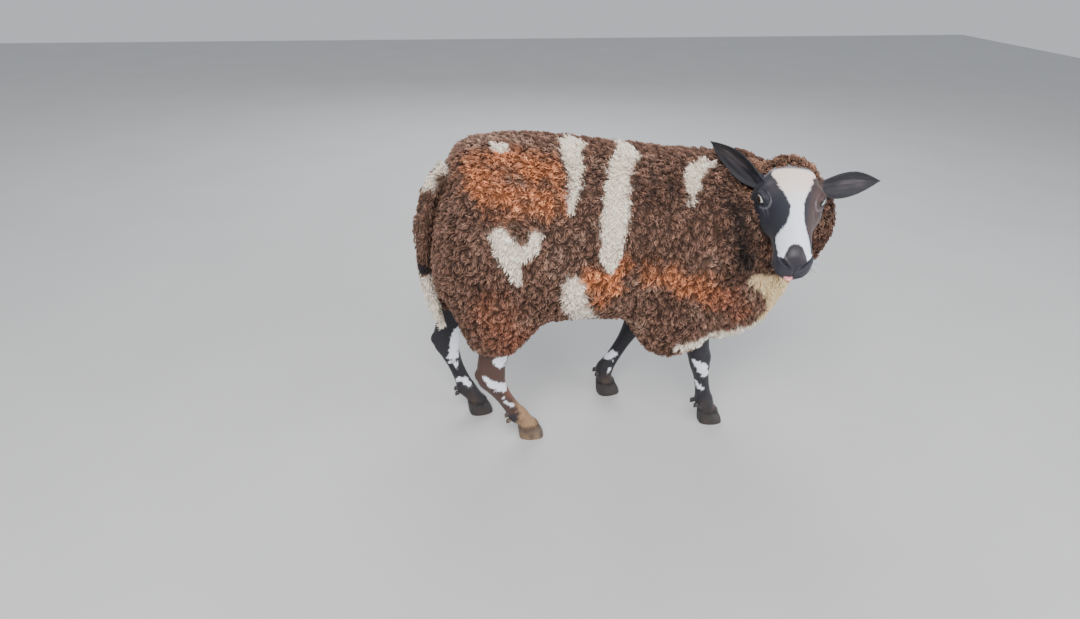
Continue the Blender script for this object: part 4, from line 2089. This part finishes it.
@dataclass
class Hooves:
    """Claws and dewclaws: grey-brown horn with growth rings, worn at the edge."""

    legs: LegShape
    finish: Material
    height: float = 0.0397
    length: float = 0.064
    width: float = 0.0235
    gap: float = 0.0030
    levels: Rows = ((0, 0.35, 1.0), (1.0, 0.97, 0.80), (0, -0.003, -0.011))
    dew_size: Row = (0.0065, 0.0065, 0.0085)
    ring_count: float = 9.0

    def claw(self, name: str, place: Vector, bearing: float, sign: float) -> Piece:
        """Half of a cloven hoof.

        Args:
            name: The piece's name.
            place: The middle of the whole hoof, on the floor.
            bearing: Which way it points, in radians.
            sign: Which half, by the sign of Y.

        Returns:
            The claw with its markings.
        """
        steps, around = 30, 40
        rings = []
        for i in range(steps + 1):
            t = i / steps
            scale, shift = (float(np.interp(t, self.levels[0], self.levels[k])) for k in (1, 2))
            wave = 0.0004 * math.sin(t * math.tau * self.ring_count) * (0.2 + 0.8 * t) - 0.0006 * (t < 0.04)
            half, high = self.length / 2 * scale + wave, self.height * t
            ring = []
            for j in range(around + 1):
                a = math.pi * (1 - j / around)
                wide = (self.width * scale + wave) * math.sin(a) ** 0.6 if 0 < j < around else 0.0
                ring.append(Vector((shift + half * math.cos(a), sign * wide, high)))
            ring += [Vector((shift + half * math.cos(math.pi * k / 12), 0.0, high)) for k in range(1, 12)]
            rings.append(ring)
        ends = [Vector((x, sign * self.width * 0.4, z)) for x, z in ((0.0, 0.0), (-0.011, self.height))]
        obj = mesh_object(name, *capped(rings, *ends))
        up = points_of(obj)[:, 2] / self.height
        turn = Matrix.Rotation(bearing, 4, "Z") @ Matrix.Translation((0, sign * self.gap / 2, 0))
        obj.data.transform(Matrix.Translation(place) @ turn)
        return self.horned(obj, up)

    def dewclaw(self, name: str, spot: Vector) -> Piece:
        """The small blunt claw behind a fetlock, at this place."""
        obj = ellipsoid(name, (0, 0, 0), self.dew_size, rings=16, sides=20)
        local = points_of(obj)
        taper = 1 - 0.45 * smooth_step(0.2, -1.0, local[:, 2] / self.dew_size[2])
        move_points(obj, local * np.stack((taper, taper, np.ones(len(taper))), axis=1))
        obj.data.transform(Matrix.Translation(spot) @ turning((0, 35, 0)))
        height = points_of(obj)[:, 2]
        return self.horned(obj, (height - height.min()) / np.ptp(height))

    def horned(self, obj: Piece, up: Array) -> Piece:
        """Paints the horn: bands of growth, and mud low down.

        Args:
            obj: The claw.
            up: How high each point is, from 0 to 1.

        Returns:
            The same claw.
        """
        points = points_of(obj)
        bands = 1 + 0.22 * np.sin(up * math.tau * self.ring_count + noise(points, 0.02, 91) * 1.5)
        patches = smooth_step(0.0, 0.6, 0.35 + 0.5 * noise(points, 0.014, 92))
        mud = patches * (1 - smooth_step(0.1, 0.9, up)) * 0.6
        muddy_foot = points[:, 0].mean() < -0.1 and points[:, 1].mean() < 0
        mud = mud + 0.25 if muddy_foot else mud * 0.12
        colours = blend(Shade.HORN_GREY.linear[None] * bands[:, None], Shade.MUD, mud)
        return dressed(obj, colours, self.finish, 42)

    def build(self) -> dict[str, Piece]:
        """Every claw and dewclaw, by the name of the node that it stands for."""
        made = {}
        for side in Side:
            for pair in PAIRS:
                rows = self.legs.stations(pair, side)
                coronet, fetlock = Vector(rows[-1][:3]), Vector(rows[-3][:3])
                place, bearing = Vector((coronet.x + 0.010, coronet.y, 0.0)), math.radians(6) * side.sign
                for claw, sign in (("outer", side.sign), ("inner", -side.sign)):
                    node_name = f"{pair}_claw_{claw}_{side.word}"
                    made[node_name] = self.claw("hoof_" + node_name, place, bearing, sign)
                    node_name = f"{pair}_dewclaw_{claw}_{side.word}"
                    spot = fetlock + Vector((-0.026, sign * 0.0120, -0.010))
                    made[node_name] = self.dewclaw("horn_" + node_name, spot)
        return made


@dataclass
class Studio:
    """The pale floor, the soft lights and the camera at the photo's angle."""

    pitch: float = 28.5
    roll: float = 1.5
    yaw: float = 13.5
    stand: Row = (-0.12, -1.60)
    eye_level: float = 1.20
    lens: float = 24.0
    sensor: float = 36.0
    floor_size: float = 14.0

    def camera(self, shift: Vector) -> None:
        """Sets the camera where the photo's stood, moved by the shift to the CAD model's frame."""
        pitch, roll = math.radians(self.pitch), math.radians(self.roll)
        turn = Matrix.Rotation(-math.radians(self.yaw), 3, "Z")
        ahead, right = Vector((0, math.cos(pitch), -math.sin(pitch))), Vector((1, 0, 0))
        below = ahead.cross(right)
        across = right * math.cos(roll) - below * math.sin(roll)
        down = right * math.sin(roll) + below * math.cos(roll)
        data = bpy.data.cameras.new("camera")
        data.lens = self.lens
        data.sensor_width = self.sensor
        data.sensor_fit = "HORIZONTAL"
        data.clip_end = 50.0
        obj = placed("camera", data)
        place = turn @ Vector((*self.stand, 0.0)) + Vector((shift.x, shift.y, self.eye_level))
        obj.matrix_world = Matrix.Translation(place) @ axes(turn @ across, -(turn @ down), -(turn @ ahead))
        bpy.context.scene.camera = obj

    def light(self, name: str, place: Row, aim: Row, size: float, power: float, colour: Row) -> None:
        """One soft square light.

        Args:
            name: Its name.
            place: Where it hangs.
            aim: What it points at.
            size: Its side.
            power: Its power in watts.
            colour: Its colour.
        """
        data = bpy.data.lights.new(name, "AREA")
        data.shape = "SQUARE"
        data.size = size
        data.energy = power
        data.color = colour
        way = (Vector(aim) - Vector(place)).to_track_quat("-Z", "Y").to_matrix().to_4x4()
        placed(name, data).matrix_world = Matrix.Translation(Vector(place)) @ way

    def floor(self) -> Piece:
        """A plain pale floor."""
        half = self.floor_size / 2
        corners = [(-half, -half, 0), (half, -half, 0), (half, half, 0), (-half, half, 0)]
        mesh = bpy.data.meshes.new("floor")
        mesh.from_pydata(corners, [], [(0, 1, 2, 3)])
        made = bpy.data.materials.new("pale_floor")
        made.use_nodes = True
        tree = made.node_tree
        spot = node(tree, "ShaderNodeTexCoord").outputs["Object"]
        grain = node(tree, "ShaderNodeTexNoise", {"Scale": 3.0, "Vector": spot}).outputs["Fac"]
        tone = node(tree, "ShaderNodeMapRange", {"To Min": 0.50, "To Max": 0.56, "Value": grain})
        feed(tree, tree.nodes["Principled BSDF"], {"Base Color": tone.outputs["Result"], "Roughness": 0.9})
        mesh.materials.append(made)
        return placed("floor", mesh)

    def build(self, shift: Vector) -> None:
        """Sets up floor, lights, world and camera."""
        self.floor()
        self.light("key", (-1.3, -2.6, 3.1), (0.0, 0.0, 0.45), 2.0, 195.0, (1.0, 0.985, 0.96))
        self.light("fill", (2.5, -2.5, 1.3), (0.1, 0.0, 0.45), 2.6, 92.0, (0.99, 0.99, 1.0))
        self.light("back", (0.4, 2.8, 2.6), (0.0, 0.0, 0.5), 2.6, 70.0, (0.97, 0.98, 1.0))
        world = bpy.data.worlds.new("studio")
        world.use_nodes = True
        sky = {"Color": (0.90, 0.94, 1.0, 1.0), "Strength": 0.62}
        feed(world.node_tree, world.node_tree.nodes["Background"], sky)
        bpy.context.scene.world = world
        self.camera(shift)


def design_shift(head: HeadShape) -> Vector:
    """From the design's frame to the CAD model's, read from where the right eye's node lies."""
    low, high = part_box("eye_right")
    middle = (Vector(low) + Vector(high)) / 2
    return middle - head.matrix() @ head.eye_frame(Side.RIGHT)[0]


def settle(obj: Piece, shift: Vector) -> None:
    """Moves a finished piece onto the CAD model, and says what it rides on and what finish it has."""
    obj.data.transform(Matrix.Translation(shift))
    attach(obj, "root")
    log.info("%s: %d triangles", obj.name, triangle_count(obj))


def main() -> None:
    """Builds the ram's pieces in order, and sets them in the studio."""
    logging.basicConfig(level=logging.INFO, format="%(message)s")
    head, legs, forms = HeadShape(), LegShape(), FleeceForm()
    shift = design_shift(head)
    hair = HAIR.material()
    body, tail, scrotum = forms.body(), TAIL.form(sides=24, steps=6), SCROTUM.form(sides=24, steps=6)
    skin, head_surface, leg_surface = Skin(head, legs, forms).build(body, tail, scrotum, hair)
    flesh = ["torso", "neck", "tail", "scrotum", "head"]
    for side in Side:
        flesh += [f"{part}_{side.word}" for part in ("thigh", "arm", "ear", "front_leg", "hind_leg")]
    settle(skin, shift)
    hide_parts(*flesh)

    fleece = Fleece(forms, WOOL.material())
    body_surface, *small = (Surface(form, unwrap=True) for form in (body, tail, scrotum))
    remove(body, tail, scrotum)
    wool = fleece.body_pieces(body_surface, [head_surface, leg_surface])
    for piece in [*wool, fleece.poll_piece(head), *fleece.small_pieces(*small)]:
        settle(piece, shift)

    short_hair = ShortHair(head, legs, hair).pieces(head_surface, leg_surface, body_surface)
    for piece in short_hair + Bristles(head, BRISTLE.material()).build():
        settle(piece, shift)

    eyes = Eyes(head, WET_EYE.material())
    for side in Side:
        eye = eyes.build(side)
        settle(eye, shift)
        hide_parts(f"eye_{side.word}")
    tongue = Tongue(head).build(MOIST_TONGUE.material())
    settle(tongue, shift)
    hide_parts("tongue")
    for name, claw in Hooves(legs, HORN.material()).build().items():
        settle(claw, shift)
        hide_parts(name)
    Studio().build(shift)


if __name__ == "__main__":
    main()
